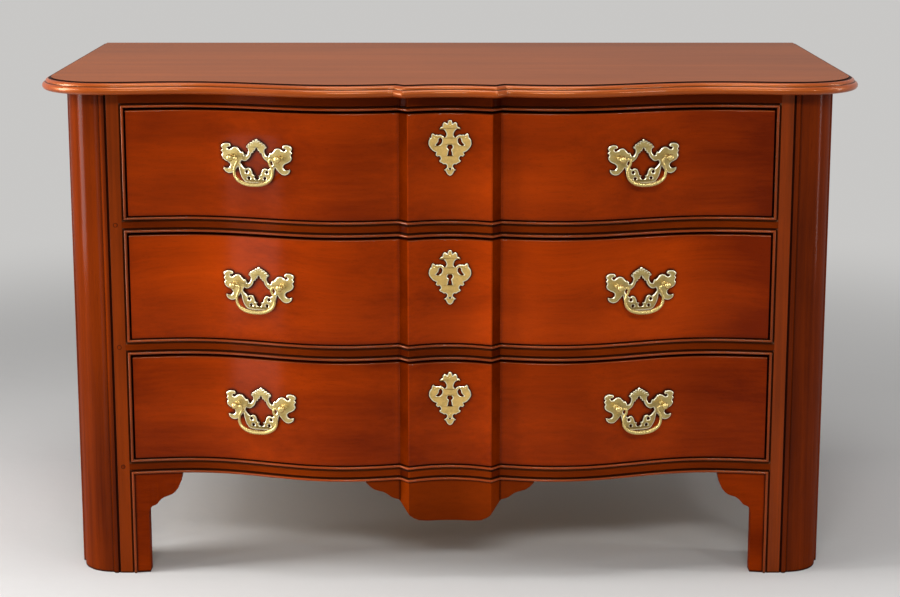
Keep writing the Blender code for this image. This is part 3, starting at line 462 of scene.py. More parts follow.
def drawn_round(name, rings):
    """A moulding drawn right round through rings of matching points."""
    deselect_all()
    bpy.ops.mesh.primitive_torus_add(major_segments=len(rings), minor_segments=len(rings[0]))
    piece = active_piece(name)
    for index, corner in enumerate(piece.data.vertices):
        corner.co = rings[index // len(rings[0])][index % len(rings[0])]
    return settle_surface(piece)


def joined(name, pieces):
    """One piece from several."""
    deselect_all()
    for piece in pieces:
        piece.select_set(True)
    bpy.context.view_layer.objects.active = pieces[0]
    bpy.ops.object.join()
    return active_piece(name)


def copied(name, piece):
    """A copy of a piece, with its own mesh."""
    deselect_all()
    piece.select_set(True)
    bpy.context.view_layer.objects.active = piece
    bpy.ops.object.duplicate()
    return active_piece(name)


def placed(piece, place):
    """Move a piece by a matrix, and leave its place in its mesh."""
    deselect_all()
    piece.select_set(True)
    bpy.context.view_layer.objects.active = piece
    piece.matrix_world = place @ piece.matrix_world
    bpy.ops.object.transform_apply(location=True, rotation=True, scale=True)
    return piece


def dressed(piece, layers, body, nodes=(), layer_of=None):
    """Give a piece its materials, the body that it rides and the nodes that it stands for.

    layer_of says which of the materials a face takes.
    """
    for layer in layers:
        piece.data.materials.append(layer)
    if layer_of:
        for face in piece.data.polygons:
            face.material_index = int(layer_of(face))
    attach(piece, body)
    if nodes:
        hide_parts(*nodes)
    return piece


def spaced(start, end, steps):
    """Evenly spaced values with both ends."""
    return [start + (end - start) * step / steps for step in range(steps + 1)]


def arc(centre, radius, start, end, steps):
    """Points round part of a circle."""
    angles = spaced(start, end, steps)
    return [(centre[0] + radius * math.cos(a), centre[1] + radius * math.sin(a)) for a in angles]


def hole(centre, radius, sides):
    """A closed outline round a circle."""
    return arc(centre, radius, 0, math.tau, sides)[:-1]


def bead(start, width, rise):
    """A round bead on a flat, as (place along the flat, height above it)."""
    angles = spaced(0, math.pi, ROUND_STEPS)
    return [(start + width / 2 * (1 - math.cos(a)), rise * math.sin(a)) for a in angles]


def read_line(places, values, place):
    """The value at a place of a line through points."""
    last = len(places) - 1
    index = max(i for i in range(last) if places[i] <= place or i == 0)
    start, end = places[index], places[index + 1]
    share = min(1, max(0, (place - start) / (end - start)))
    return values[index] + (values[index + 1] - values[index]) * share


# The serpentine line

def block_reach(x, growth):
    """Reach of the block's dished face."""
    return BLOCK_REACH - BLOCK_DISH * (1 - (x / (BLOCK_HALF_WIDTH + growth)) ** 2)


def wave_reach(x, growth):
    """Reach of the front from the block's return out to the post."""
    corner = BLOCK_HALF_WIDTH + BLOCK_RETURN_WIDTH + growth
    if x <= CREST_X:
        share = (CREST_X - x) / (CREST_X - corner)
        return CREST_REACH - (CREST_REACH - RETURN_CORNER_REACH) * (1 - math.cos(share * math.pi / 2))
    if x <= HOLLOW_X:
        share = (HOLLOW_X - x) / (HOLLOW_X - CREST_X)
        return (CREST_REACH + HOLLOW_DEPTH) * (1 - math.cos(share * math.pi)) / 2 - HOLLOW_DEPTH
    share = (OPENING_HALF_WIDTH - x) / (OPENING_HALF_WIDTH - HOLLOW_X)
    return -HOLLOW_DEPTH * math.sin(max(0, share) * math.pi / 2)


def moved_point(x, inset, reach, growth):
    """The point at x of a line that runs parallel to the front, inset into the wood."""
    place = x
    for _ in range(INSET_ROUNDS):
        slope = (reach(place + SLOPE_STEP, growth) - reach(place - SLOPE_STEP, growth)) / (2 * SLOPE_STEP)
        length = math.hypot(1, slope)
        place = x - inset * slope / length
    return (x, FACE_Y - reach(place, growth) + inset / length)


def mitre_shift(first_slope, second_slope):
    """How far a corner of the front moves sideways for each metre that its line is inset."""
    first = Vector((first_slope, 1)).normalized()
    second = Vector((second_slope, 1)).normalized()
    pointing = (first + second).normalized()
    return pointing.x / pointing.dot(first)


def eased(before, corner, after):
    """The two points that ease a corner of a line."""
    here = Vector(corner)
    ends = (Vector(before) - here, Vector(after) - here)
    return [tuple(here + end.normalized() * ARRIS_EASE) for end in ends]


def in_return(place):
    """Whether a place is on one of the block's two returns, which show end grain."""
    return abs(abs(place.x) - BLOCK_HALF_WIDTH - BLOCK_RETURN_WIDTH / 2) < BLOCK_RETURN_WIDTH / 2


def front_line(inset=0.0, growth=0.0, half_width=OPENING_HALF_WIDTH):
    """The front in plan from left to right, with the same stations at every inset."""
    arris = BLOCK_HALF_WIDTH + growth
    corner = arris + BLOCK_RETURN_WIDTH
    dish_slope = 2 * BLOCK_DISH / arris
    return_slope = (RETURN_CORNER_REACH - BLOCK_REACH) / BLOCK_RETURN_WIDTH
    crest_slope = (CREST_REACH - RETURN_CORNER_REACH) * math.pi / 2 / (CREST_X - corner)
    arris += inset * mitre_shift(dish_slope, return_slope)
    corner += inset * mitre_shift(return_slope, crest_slope)
    dish = [moved_point(x, inset, block_reach, growth) for x in spaced(0, arris, DISH_STEPS)]
    wave = [moved_point(x, inset, wave_reach, growth) for x in spaced(corner, CREST_X, CREST_STEPS)]
    half = dish[:-1] + eased(dish[-2], dish[-1], wave[0]) + eased(dish[-1], wave[0], wave[1]) + wave[1:]
    half += [moved_point(x, inset, wave_reach, growth) for x in spaced(CREST_X, HOLLOW_X, WAVE_STEPS)[1:]]
    outer = spaced(HOLLOW_X, half_width, POST_SPAN_STEPS)[1:]
    half += [moved_point(x, inset, wave_reach, growth) for x in outer]
    return [(-x, y) for x, y in reversed(half[1:])] + half


def front_y(x):
    """How far forward the front stands at any place across it."""
    place = min(abs(x), OPENING_HALF_WIDTH)
    if place <= BLOCK_HALF_WIDTH:
        return FACE_Y - block_reach(place, 0)
    if place >= BLOCK_HALF_WIDTH + BLOCK_RETURN_WIDTH:
        return FACE_Y - wave_reach(place, 0)
    share = (place - BLOCK_HALF_WIDTH) / BLOCK_RETURN_WIDTH
    return FACE_Y - BLOCK_REACH - (RETURN_CORNER_REACH - BLOCK_REACH) * share


# Shader work

class Wire:
    """A shader value on which sums can be written."""

    def __init__(self, recipe, socket):
        self.recipe = recipe
        self.socket = socket

    def sum(self, operation, *terms, **settings):
        """A Math node on these terms."""
        return self.recipe.node("ShaderNodeMath", dict(enumerate(terms)), operation=operation, **settings)

    def clamped(self):
        """The value, kept between 0 and 1."""
        return self.sum("ADD", self, 0.0, use_clamp=True)

    def __add__(self, other):
        return self.sum("ADD", self, other)

    def __sub__(self, other):
        return self.sum("SUBTRACT", self, other)

    def __rsub__(self, other):
        return self.sum("SUBTRACT", other, self)

    def __mul__(self, other):
        return self.sum("MULTIPLY", self, other)

    __radd__ = __add__
    __rmul__ = __mul__


class Recipe:
    """The nodes of one material, or of the world."""

    def __init__(self, owner, output):
        owner.use_nodes = True
        self.tree = owner.node_tree
        self.surface = self.tree.nodes[output].inputs["Surface"]

    def feed(self, socket, value):
        """Link a wire to a socket, or set the socket's value."""
        if isinstance(value, Wire):
            self.tree.links.new(value.socket, socket)
        elif isinstance(value, (int, float)):
            socket.default_value = value
        else:
            socket.default_value = (*value, 1.0) if len(socket.default_value) > len(value) else value

    def node(self, kind, values=None, output=0, stops=None, **settings):
        """Any node: its settings first, then the values or links of its sockets."""
        made = self.tree.nodes.new(kind)
        for key, setting in settings.items():
            setattr(made, key, setting)
        for spot, stop in enumerate(stops or ()):
            if spot > 1:
                made.color_ramp.elements.new(stop[0])
            made.color_ramp.elements[spot].position = stop[0]
            made.color_ramp.elements[spot].color = (stop[1], stop[1], stop[1], 1)
        for key, value in (values or {}).items():
            self.feed(made.inputs[key], value)
        return Wire(self, made.outputs[output])

    def vector(self, operation, *terms):
        return self.node("ShaderNodeVectorMath", dict(enumerate(terms)), operation=operation)

    def scaled(self, place, scales, offset=(0, 0, 0)):
        return self.node("ShaderNodeMapping", {"Vector": place, "Scale": scales, "Location": offset})

    def noise(self, place, scales, detail=2.0, roughness=0.5, output=0):
        """Noise that is finer along an axis with a larger scale."""
        return self.node("ShaderNodeTexNoise", {"Vector": self.scaled(place, scales), "Scale": 1.0,
                                                "Detail": detail, "Roughness": roughness}, output)

    def ramp(self, value, *stops):
        """A grey ramp from its stops, as (place, value)."""
        return self.node("ShaderNodeValToRGB", {0: value}, stops=stops)

    def mixed(self, share, first, second):
        """The first colour, with a share of the second over it."""
        return self.node("ShaderNodeMix", {0: share, 6: first, 7: second}, 2, data_type="RGBA")

    def seen_ray(self):
        """1 for a ray that sees the background: straight on, off gloss or through glass."""
        seen, *others = [self.node("ShaderNodeLightPath", output=kind) for kind in SEEN_RAYS]
        for ray in others:
            seen = seen.sum("MAXIMUM", seen, ray)
        return seen


class Finish(Recipe):
    """The nodes of one material, from a place on the piece to its surface."""

    def __init__(self, name):
        self.material = bpy.data.materials.new(name)
        super().__init__(self.material, "Material Output")
        self.shader = self.tree.nodes["Principled BSDF"]
        self.place = self.node("ShaderNodeTexCoord", output="Object")

    def complete(self, colour, roughness, height, depth, **constants):
        """The material, with its surface fed and its other looks set."""
        self.feed(self.shader.inputs["Base Color"], colour)
        self.feed(self.shader.inputs["Roughness"], roughness)
        bump = self.node("ShaderNodeBump", {"Height": height, "Distance": depth, "Strength": 1.0})
        self.feed(self.shader.inputs["Normal"], bump)
        for key, value in constants.items():
            self.shader.inputs[key.replace("_", " ")].default_value = value
        return self.material


finishes = {}


def along(grain, scale_along, scale_across):
    """Scales of a pattern that runs along one axis."""
    scales = [scale_across] * 3
    scales[grain] = scale_along
    return scales


def toned(colour, share):
    """A colour made darker or lighter by a share."""
    return tuple(share * part for part in colour)


def polished_wood(name, tones, grain, flow, offset, streak, figure=FIGURE_SCALE_ACROSS, mottle=1.5,
                  gloss=0.11, blur=0.14, glow=0.0, relief=WOOD_RELIEF, far_end=0.0,
                  painted_shade_reach=PAINTED_SHADE_REACH):
    """French-polished mahogany, its grain along one axis and flowing sideways by a distance."""
    dark, light = tones
    recipe = Finish(name)
    start = recipe.scaled(recipe.place, (1, 1, 1), (offset, offset * 2, offset * 3))
    drift = recipe.noise(start, along(grain, *DRIFT_SCALES), output="Color")
    lean = recipe.vector("SUBTRACT", drift, (0.5, 0.5, 0.5))
    bent = recipe.vector("ADD", start, recipe.vector("MULTIPLY", lean, (flow, flow, flow)))
    cloud = recipe.noise(start, along(grain, *CLOUD_SCALES), 3.0, 0.55)
    bands = recipe.noise(bent, along(grain, FIGURE_SCALE, figure), 3.0, 0.55)
    lines = recipe.noise(bent, along(grain, *LINE_SCALES), 3.0, 0.6)
    pores = recipe.noise(bent, along(grain, *PORE_SCALES), 1.0)
    pore_mask = recipe.ramp(pores, *PORE_STOPS)
    tone = (cloud - 0.5) * mottle + (bands - 0.5) * (BAND_STRENGTH * streak)
    tone = tone + (lines - 0.5) * (LINE_STRENGTH * streak) + 0.5
    if far_end:
        across = recipe.node("ShaderNodeSeparateXYZ", {0: recipe.place}, "X")
        end = recipe.node("ShaderNodeMapRange", {"Value": across, "From Min": FAR_END_X,
                                                 "From Max": OPENING_HALF_WIDTH})
        tone = tone - end * far_end
    wood = recipe.mixed(tone.clamped(), dark, light)
    wood = recipe.mixed(pore_mask * PORE_STRENGTH, wood, toned(dark, PORE_TONE))
    # Painted shade: the wood darkens where ambient occlusion finds other parts within reach
    open_share = recipe.node("ShaderNodeAmbientOcclusion", {"Distance": painted_shade_reach}, "AO", samples=8)
    wood = recipe.mixed(recipe.ramp(open_share, *PAINTED_SHADE_STOPS) * PAINTED_SHADE_SHARE, wood, PAINTED_SHADE_COLOUR)
    roughness = POLISH_ROUGHNESS + (lines - 0.5) * 0.14 + pore_mask * 0.10
    height = (cloud - 0.5) * 0.25 + (lines - 0.5) * 0.10 - pore_mask * 0.35
    return recipe.complete(wood, roughness, height, relief, Specular_IOR_Level=glow,
                           Specular_Tint=POLISH_GLOW, Coat_Weight=gloss, Coat_Roughness=blur, Coat_IOR=1.5)


def gathered_polish(name, colour):
    """Dark old polish round the joints, and painted shade in the quirks, on the beads' inner sides and under
    the top's lip.
    """
    recipe = Finish(name)
    cloud = recipe.noise(recipe.place, (30, 30, 30), 3.0)
    shade = recipe.mixed(cloud, colour, toned(colour, 2.2))
    return recipe.complete(shade, 0.45 + cloud * 0.2, cloud, 0.0001, Specular_IOR_Level=0.05)


def plain_wood(name, dark, light, grain):
    """Unpolished inner wood with its growth rings and a little age."""
    recipe = Finish(name)
    drift = recipe.noise(recipe.place, along(grain, *PLAIN_DRIFT_SCALES), output="Color")
    bent = recipe.vector("ADD", recipe.place, recipe.vector("MULTIPLY", drift, (PLAIN_FLOW,) * 3))
    rings = recipe.noise(bent, along(grain, 0.5, 1 / RING_SPACING), 1.0, 0.4)
    fibre = recipe.noise(bent, along(grain, *FIBRE_SCALES))
    stain = recipe.noise(recipe.place, (3, 3, 3), 4.0, 0.6)
    ring_mask = recipe.ramp(rings, *RING_STOPS)
    wood = recipe.mixed(ring_mask * RING_STRENGTH + fibre * FIBRE_STRENGTH, light, dark)
    wood = recipe.mixed(recipe.ramp(stain, *STAIN_STOPS), wood, dark)
    roughness = 0.60 + fibre * 0.18
    height = fibre * 0.7 + ring_mask * 0.3
    return recipe.complete(wood, roughness, height, PLAIN_RELIEF, Specular_IOR_Level=0.3)


def old_brass(name, bright, tarnish, wear, roughness, metal=0.85, relief=BRASS_RELIEF):
    """Cast brass, rubbed bright over a soft tarnish."""
    recipe = Finish(name)
    cloud = recipe.noise(recipe.place, BRASS_CLOUD_SCALES, 4.0, 0.6)
    speck = recipe.noise(recipe.place, BRASS_SPECK_SCALES)
    scratch = recipe.noise(recipe.place, BRASS_SCRATCH_SCALES, 1.0)
    tarnish_mask = recipe.ramp(cloud * 0.7 + speck * 0.3, (0.42, 0.0), (0.74, wear))
    colour = recipe.mixed(tarnish_mask, bright, tarnish)
    grade = roughness + tarnish_mask * 0.25 + (scratch - 0.5) * 0.12
    height = cloud * 0.5 + speck * 0.25 + scratch * 0.25
    return recipe.complete(colour, grade, height, relief, Metallic=metal)


def make_woods(colours):
    """Every wood of the chest, each from the two tones of its kind."""
    kinds = {}
    for kind in ("front", "post", "top", "edge", "inner"):
        kinds[kind] = (tuple(getattr(colours, f"{kind}_dark")), tuple(getattr(colours, f"{kind}_light")))

    def wood(name, kind, share, grain, **looks):
        tones = [toned(tone, share) for tone in kinds[kind]]
        finishes[name] = polished_wood(f"mahogany_{name}", tones, grain, **looks)

    stile = {"flow": 0.008, "streak": 0.7, "figure": POST_FIGURE_SCALE_ACROSS}
    moulded = {"relief": MOULDED_RELIEF}
    wood("top", "top", 1.0, X, flow=0.02, offset=2.0, streak=0.5, mottle=0.8, gloss=0.27)
    wood("top_edge", "edge", 0.82, X, flow=0.02, offset=2.0, streak=0.3, gloss=0.20, blur=0.05, glow=1.0,
         **moulded)
    wood("post", "post", 0.58, Z, offset=5.0, gloss=0.12, **stile)
    # Painted light and shade: the two stiles are one wood, the left toned darker and the right lighter
    wood("left_stile", "post", 0.76, Z, offset=9.0, gloss=0.06, glow=0.25, **stile)
    wood("right_stile", "post", 1.0, Z, offset=12.0, gloss=0.16, glow=0.4, **stile)
    wood("rail", "post", 0.62, X, flow=0.006, offset=7.0, streak=0.5, gloss=0.04)
    wood("bead", "post", 0.85, X, flow=0.006, offset=7.0, streak=0.4, gloss=0.26, blur=0.04, glow=0.6,
         **moulded)
    wood("side", "front", 0.55, Z, flow=0.03, offset=11.0, streak=0.6)
    wood("peg", "post", 0.62, Y, flow=0.0, offset=3.0, streak=0.9)
    wood("bracket", "front", 0.72, X, flow=0.02, offset=4.0, streak=0.6, gloss=0.05)
    # Painted shade: a dark tone for the drawer fronts' edges in the gaps and for the rails' returns
    wood("rim", "front", 0.25, X, flow=0.006, offset=3.0, streak=0.5, gloss=0.015)
    wood("end_grain", "front", 0.42, X, flow=0.006, offset=3.0, streak=0.5, gloss=0.0)
    # The fronts' painted shade reaches further, so that it darkens the wood round the brass plates
    plain = {"flow": 0.07, "figure": 22.0, "far_end": 0.35, "streak": 0.6, "painted_shade_reach": FRONT_PAINTED_SHADE_REACH}
    figured = {**plain, "flow": 0.16, "figure": 15.0, "far_end": 0.6}
    wood("bottom_front", "front", 0.84, X, offset=1.0, **plain)
    wood("middle_front", "front", 0.99, X, offset=2.7, **figured)
    wood("top_front", "front", 0.82, X, offset=4.4, **plain)
    finishes["polish"] = gathered_polish("gathered_polish", tuple(colours.polish_and_shade_dark))
    finishes["inner_x"] = plain_wood("inner_wood_across", *kinds["inner"], X)
    finishes["inner_y"] = plain_wood("inner_wood_front_to_back", *kinds["inner"], Y)


def make_brasses(colours):
    """The brass of the plates, of their rubbed edges and of the parts that hands rub."""
    tarnish = tuple(colours.brass_tarnish)
    brass = tuple(colours.brass)
    finishes["brass"] = old_brass("old_brass", brass, tarnish, wear=0.55, roughness=0.36)
    finishes["keyplate_brass"] = old_brass("keyplate_brass", tuple(colours.keyplate_brass), tarnish,
                                           wear=0.50, roughness=0.36)
    finishes["brass_edge"] = old_brass("rubbed_brass_edge", tuple(colours.brass_edge), tarnish,
                                       wear=0.12, roughness=0.30, metal=0.55)
    finishes["brass_wire"] = old_brass("rubbed_brass", toned(brass, 1.22), tarnish,
                                       wear=0.16, roughness=0.27, relief=WIRE_RELIEF)


# Woodwork

def top_profile():
    """The moulded edge from the top surface down, as (inset from the belly, height)."""
    ovolo_drop = TOP_OVOLO_FOOT - TOP_LIP_DROP
    ovolo_reach = TOP_EDGE_INSET - TOP_OVOLO_INSET - TOP_LIP_DROP
    belly_z = (TOP_THICKNESS - TOP_OVOLO_FOOT) / 2
    points = [(TOP_EDGE_INSET, TOP_THICKNESS)]
    points.append((TOP_EDGE_INSET + TOP_LIP_LEAN, TOP_THICKNESS - TOP_TREAD_DROP))
    points.append((TOP_EDGE_INSET - TOP_LIP_DROP, TOP_THICKNESS - TOP_TREAD_DROP))
    for angle in spaced(TOP_OVOLO_START, math.pi / 2, ROUND_STEPS):
        inset = TOP_OVOLO_INSET + ovolo_reach * (1 - math.sin(angle))
        points.append((inset, TOP_THICKNESS - TOP_LIP_DROP - ovolo_drop * (1 - math.cos(angle))))
    points.append((TOP_OVOLO_INSET + TOP_QUIRK_DEPTH, 2 * belly_z))
    for angle in spaced(TOP_BELLY_START, -math.pi / 2, 2 * ROUND_STEPS):
        inset = TOP_BELLY_RADIUS * (1 - math.cos(angle))
        points.append((inset, belly_z * (1 + math.sin(angle))))
    return points


def top_outline(inset):
    """Plan of the top at an inset from its widest line, from the back left round."""
    side = WIDTH / 2 - inset
    centre_x = WIDTH / 2 - TOP_CORNER_RADIUS
    centre_y = FACE_Y - OVERHANG + TOP_CORNER_RADIUS
    radius = TOP_CORNER_RADIUS - inset
    front = [(x, y - OVERHANG) for x, y in front_line(inset, TOP_BLOCK_SIDE_GROWTH)]
    left = arc((-centre_x, centre_y), radius, math.pi, math.pi * 3 / 2, TOP_ARC_STEPS)
    right = [(-x, y) for x, y in reversed(left)]
    return [(-side, DEPTH / 2)] + left + front + right + [(side, DEPTH / 2)]


def post_section():
    """Plan of a front post as (in from the case's side, back from its face)."""
    place = POST_FACE_WIDTH
    line = [(place, RECESS_DEPTH), (place - FRAME_WIDTH, RECESS_DEPTH), (place - FRAME_WIDTH, 0)]
    place -= FRAME_WIDTH + STILE_WIDTH
    for angle in spaced(0, math.pi / 3, STILE_ARRIS_STEPS):
        line.append((place + STILE_ARRIS * (1 - math.sin(angle)), STILE_ARRIS * (1 - math.cos(angle))))
    line += [(place - STILE_GROOVE_WIDTH * share, GROOVE_DEPTH) for share in STILE_GROOVE_FLOOR_SHARES]
    place -= STILE_GROOVE_WIDTH
    reed = [(place - along, -rise) for along, rise in bead(0, REED_WIDTH, REED_RISE)]
    line += reed
    centre = CORNER_SPAN - GROOVE_WIDTH / 2
    corner = arc((centre, centre), CORNER_RADIUS, -math.pi / 2, -math.pi, CORNER_STEPS)
    groove = (CORNER_SPAN - GROOVE_WIDTH / 4, GROOVE_DEPTH)
    line += [groove] + corner + [(groove[1], groove[0])]
    line += [(back, along) for along, back in reversed(reed)]
    line.append((GROOVE_DEPTH, CORNER_SPAN + REED_WIDTH + GROOVE_WIDTH / 2))
    line.append((0, CORNER_SPAN + REED_WIDTH + GROOVE_WIDTH))
    line += [(0, POST_SIDE_DEPTH), (POST_LEG_THICKNESS, POST_SIDE_DEPTH)]
    line += [(POST_LEG_THICKNESS, POST_STILE_THICKNESS), (POST_FACE_WIDTH, POST_STILE_THICKNESS)]
    return line


def moulding_section():
    """Section of a bead and its quirk, as (out from the opening's edge, height above the face)."""
    section = [(0, -RECESS_DEPTH + JOINT_GAP)] + bead(0, BEAD_WIDTH, BEAD_RISE)
    section += [(BEAD_WIDTH + QUIRK_WIDTH * share, -QUIRK_DEPTH) for share in QUIRK_FLOOR_SHARES]
    section.append((FRAME_WIDTH - JOINT_GAP, 0))
    section.append((FRAME_WIDTH - JOINT_GAP, -RECESS_DEPTH + JOINT_GAP))
    return section


def run_on(line, half_width, y):
    """A line across the front, run on flat at both ends."""
    return [(-half_width, y)] + line + [(half_width, y)]


def moulding_run(out, rise):
    """A moulding's line along a rail, run on over the stiles to its mitres."""
    return run_on(front_line(-rise), OPENING_HALF_WIDTH + out, FACE_Y - rise)


def opening_moulding(name, bottom, top):
    """Bead and quirk mitred right round a drawer's opening."""
    section = moulding_section()
    runs = [moulding_run(out, rise) for out, rise in section]
    rings = []
    for index in range(len(runs[0])):
        rings.append([(*run[index], bottom - out) for run, (out, _) in zip(runs, section)])
    for index in reversed(range(len(runs[0]))):
        rings.append([(*run[index], top + out) for run, (out, _) in zip(runs, section)])
    return drawn_round(name, rings)


def foot_moulding(name):
    """Bead and quirk up one foot, along the bottom rail and down the other foot."""
    section = moulding_section()
    runs = [moulding_run(out, rise) for out, rise in section]
    rings = [[(*run[0], 0) for run in runs]]
    for index in range(len(runs[0])):
        rings.append([(*run[index], FOOT_HEIGHT + out) for run, (out, _) in zip(runs, section)])
    rings.append([(*run[-1], 0) for run in runs])
    return drawn_out(name, rings)


def build_rail(name):
    """A rail with its raised flat between the two mouldings, run on to the stiles."""
    bottom, top = low(name, Z), high(name, Z)
    band_bottom = bottom + FRAME_WIDTH + JOINT_GAP
    band_top = top - FRAME_WIDTH - JOINT_GAP if name != "top_rail" else top
    rings = []
    for x, y in front_line(RECESS_DEPTH, half_width=OPENING_HALF_WIDTH - CONTACT_GAP):
        rings.append([(x, y, bottom), (x, y, top), (x, RAIL_BACK_Y, top), (x, RAIL_BACK_Y, bottom)])
    body = drawn_out(name, rings)
    end = OPENING_HALF_WIDTH + FRAME_WIDTH - JOINT_GAP
    flat = run_on(front_line(), end, FACE_Y)
    back = run_on(front_line(RECESS_DEPTH - JOINT_GAP / 2), end, FACE_Y + RECESS_DEPTH - JOINT_GAP)
    rings = []
    for front, behind in zip(flat, back):
        rings.append([(*front, band_bottom), (*front, band_top), (*behind, band_top), (*behind, band_bottom)])
    return joined(f"{name}_wood", [body, drawn_out("band", rings)])


def board_ring(x, bottom, top, back, rounding):
    """Section of a sawn board just behind the front's line, with its lower front edge rounded."""
    y = front_y(x) + BRACKET_SETBACK
    ease = rounding * (1 - math.sqrt(0.5))
    return [(x, y, top), (x, y, bottom + rounding), (x, y + ease, bottom + ease),
            (x, y + rounding, bottom), (x, back, bottom), (x, back, top)]


def bracket_stations():
    """The bracket's outline as (place in from the foot, height of its lower edge)."""
    places = [share * BRACKET_WIDTH for share in SCROLL_PLACE_SHARES]
    heights = [share * FOOT_HEIGHT for share in SCROLL_HEIGHT_SHARES]
    line = [(0, 0), (BRACKET_STRIP_WIDTH, 0)]
    for start, end in zip(places, places[1:]):
        for place in spaced(start, end, SCROLL_STEPS)[:-1]:
            line.append((place, read_line(places, heights, place)))
    line.append((places[-1], heights[-1]))
    return line


def pendant_stations():
    """The pendant's outline as (place across, drop of its lower edge), from left to right."""
    places = [share * PENDANT_HALF_WIDTH for share in PENDANT_PLACE_SHARES]
    drops = [share * PENDANT_DROP for share in PENDANT_DROP_SHARES]
    half = {}
    for start, end in zip(places, places[1:]):
        for place in spaced(start, end, SCROLL_STEPS):
            half[round(place, 6)] = read_line(places, drops, place)
    for place in (BLOCK_HALF_WIDTH, BLOCK_HALF_WIDTH + BLOCK_RETURN_WIDTH):
        half[round(place, 6)] = read_line(places, drops, place)
    half = sorted(half.items())
    return [(-x, drop) for x, drop in reversed(half[1:])] + half


# Layers: which of its piece's materials a face of the woodwork takes

def top_layer(face):
    """Painted shade in the old polish on the lip's wall, its tread and the quirk, and the edge's own finish
    round the rest.
    """
    top_z = TOP_UNDERSIDE_Z + TOP_THICKNESS
    tread_z = top_z - TOP_TREAD_DROP
    quirk_z = top_z - TOP_OVOLO_FOOT
    place, normal = face.center, face.normal
    level = abs(normal.z) >= FLAT_SHARE
    wall = tread_z < place.z < top_z and normal.y < 0.9 and not level
    tread = abs(place.z - tread_z) < TOP_LIP_DROP / 9
    quirk = abs(place.z - quirk_z) < TOP_QUIRK_DEPTH / 4 and abs(normal.z) > 0.5
    if wall or tread or quirk:
        return 1
    return 0 if level else 2


def on_stile(face):
    """Whether a face of a post is on the flat front of its stile."""
    inward = CASE_HALF_WIDTH - abs(face.center.x)
    past_corner = inward > POST_FACE_WIDTH - FRAME_WIDTH - STILE_WIDTH
    return past_corner and face.center.y - FACE_Y < GROOVE_DEPTH / 4


def on_return(face):
    """Whether a face of a rail is on one of the block's returns."""
    return abs(face.normal.z) < 0.5 and in_return(face.center)


def in_recess(face):
    """Whether a face of a moulding is in its quirk or on its inner side."""
    return face.center.y > front_y(face.center.x) + SHADE_DEPTH


def front_layer(face):
    """Painted shade on the edges that sit in the gaps, end grain on the block's returns and a rubbed upper
    edge on a drawer front.
    """
    if max(abs(face.normal.x), abs(face.normal.z)) > FLAT_SHARE:
        return 1
    if in_return(face.center):
        return 2
    return 3 if face.normal.z > 0.1 else 0


# Brass work

def mirrored(half):
    """A closed outline from its right half, which starts and ends on the middle line."""
    return list(half) + [(-x, z) for x, z in reversed(half[1:-1])]


def sized(shares, size):
    """An outline in metres, from shares of one size."""
    return [(x * size, z * size) for x, z in shares]


def turn_at(outline, index):
    """How sharply an outline turns at one of its points."""
    before, here, after = (Vector(outline[(index + step) % len(outline)]) for step in (-1, 0, 1))
    return (here - before).angle(after - here)


def cut_plate(name, outlines, thickness, bevel, finish):
    """A pierced plate with filed edges, its back on y = 0 and its face towards -Y."""
    deselect_all()
    bpy.ops.curve.primitive_bezier_circle_add()
    plate = active_piece(name)
    curve = plate.data
    curve.splines.clear()
    for outline in outlines:
        spline = curve.splines.new("BEZIER")
        spline.bezier_points.add(len(outline) - 1)
        for index, knot in enumerate(spline.bezier_points):
            knot.co = (*outline[index], 0)
            kind = "VECTOR" if turn_at(outline, index) > CUSP_ANGLE else "AUTO"
            knot.handle_left_type = knot.handle_right_type = kind
        spline.use_cyclic_u = True
    curve.dimensions = "2D"
    curve.fill_mode = "FRONT"
    curve.resolution_u = PLATE_CURVE_STEPS
    bpy.ops.object.convert(target="MESH")
    plate = active_piece(name)
    merge_doubles()
    bpy.context.tool_settings.mesh_select_mode = (False, False, True)
    bpy.ops.mesh.select_all(action="SELECT")
    bpy.ops.mesh.extrude_region_move(TRANSFORM_OT_translate={"value": (0, 0, thickness - bevel / 2)})
    bpy.ops.mesh.inset(thickness=bevel, depth=bevel / 2, use_even_offset=False)
    bpy.ops.object.mode_set(mode="OBJECT")
    placed(plate, Matrix.Rotation(math.pi / 2, 4, "X"))
    settle_surface(plate, PLATE_SMOOTH_ANGLE)
    plate.data.materials.clear()
    for layer in (finish, finishes["brass_edge"]):
        plate.data.materials.append(layer)
    for face in plate.data.polygons:
        face.material_index = int(abs(face.normal.y) <= PLATE_FLAT_SHARE)
    return plate


def turned(name, profile, sides=TURNED_SIDES):
    """A turned solid about the Y axis, from (radius, y) pairs."""
    angles = [math.tau * step / sides for step in range(sides)]
    rings = []
    for radius, y in profile:
        rings.append([(radius * math.cos(a), y, radius * math.sin(a)) for a in angles])
    return drawn_out(name, rings)


def rounded_head(radius, start, length, steps=ROUND_STEPS):
    """Profile of a rounded knob, from its back to its tip."""
    points = []
    for angle in spaced(*ROUNDED_HEAD_SPAN, steps):
        points.append((radius * math.cos(angle), start - length * (1 + math.sin(angle)) / 2))
    return points


def bail_seat(row_name, side_name):
    """Where a bail hangs: the middle of its axis, turned with the front that it hangs on."""
    wanted = f"{row_name}_bail_{side_name}_swing"
    joint = next(joint for joint in frame["joints"] if joint["name"] == wanted)
    axis = Vector(joint["axis"])
    place = Matrix.Translation(joint["pos_m"])
    return place @ Matrix.Rotation(math.atan2(-axis.y, -axis.x), 4, "Z")


# Operators

class CHEST_OT_finishes(bpy.types.Operator):
    """Make the wood and brass finishes"""

    bl_idname = "chest.finishes"
    bl_label = "Finishes"

    def execute(self, context):
        make_woods(context.scene.chest_colours)
        make_brasses(context.scene.chest_colours)
        return {"FINISHED"}


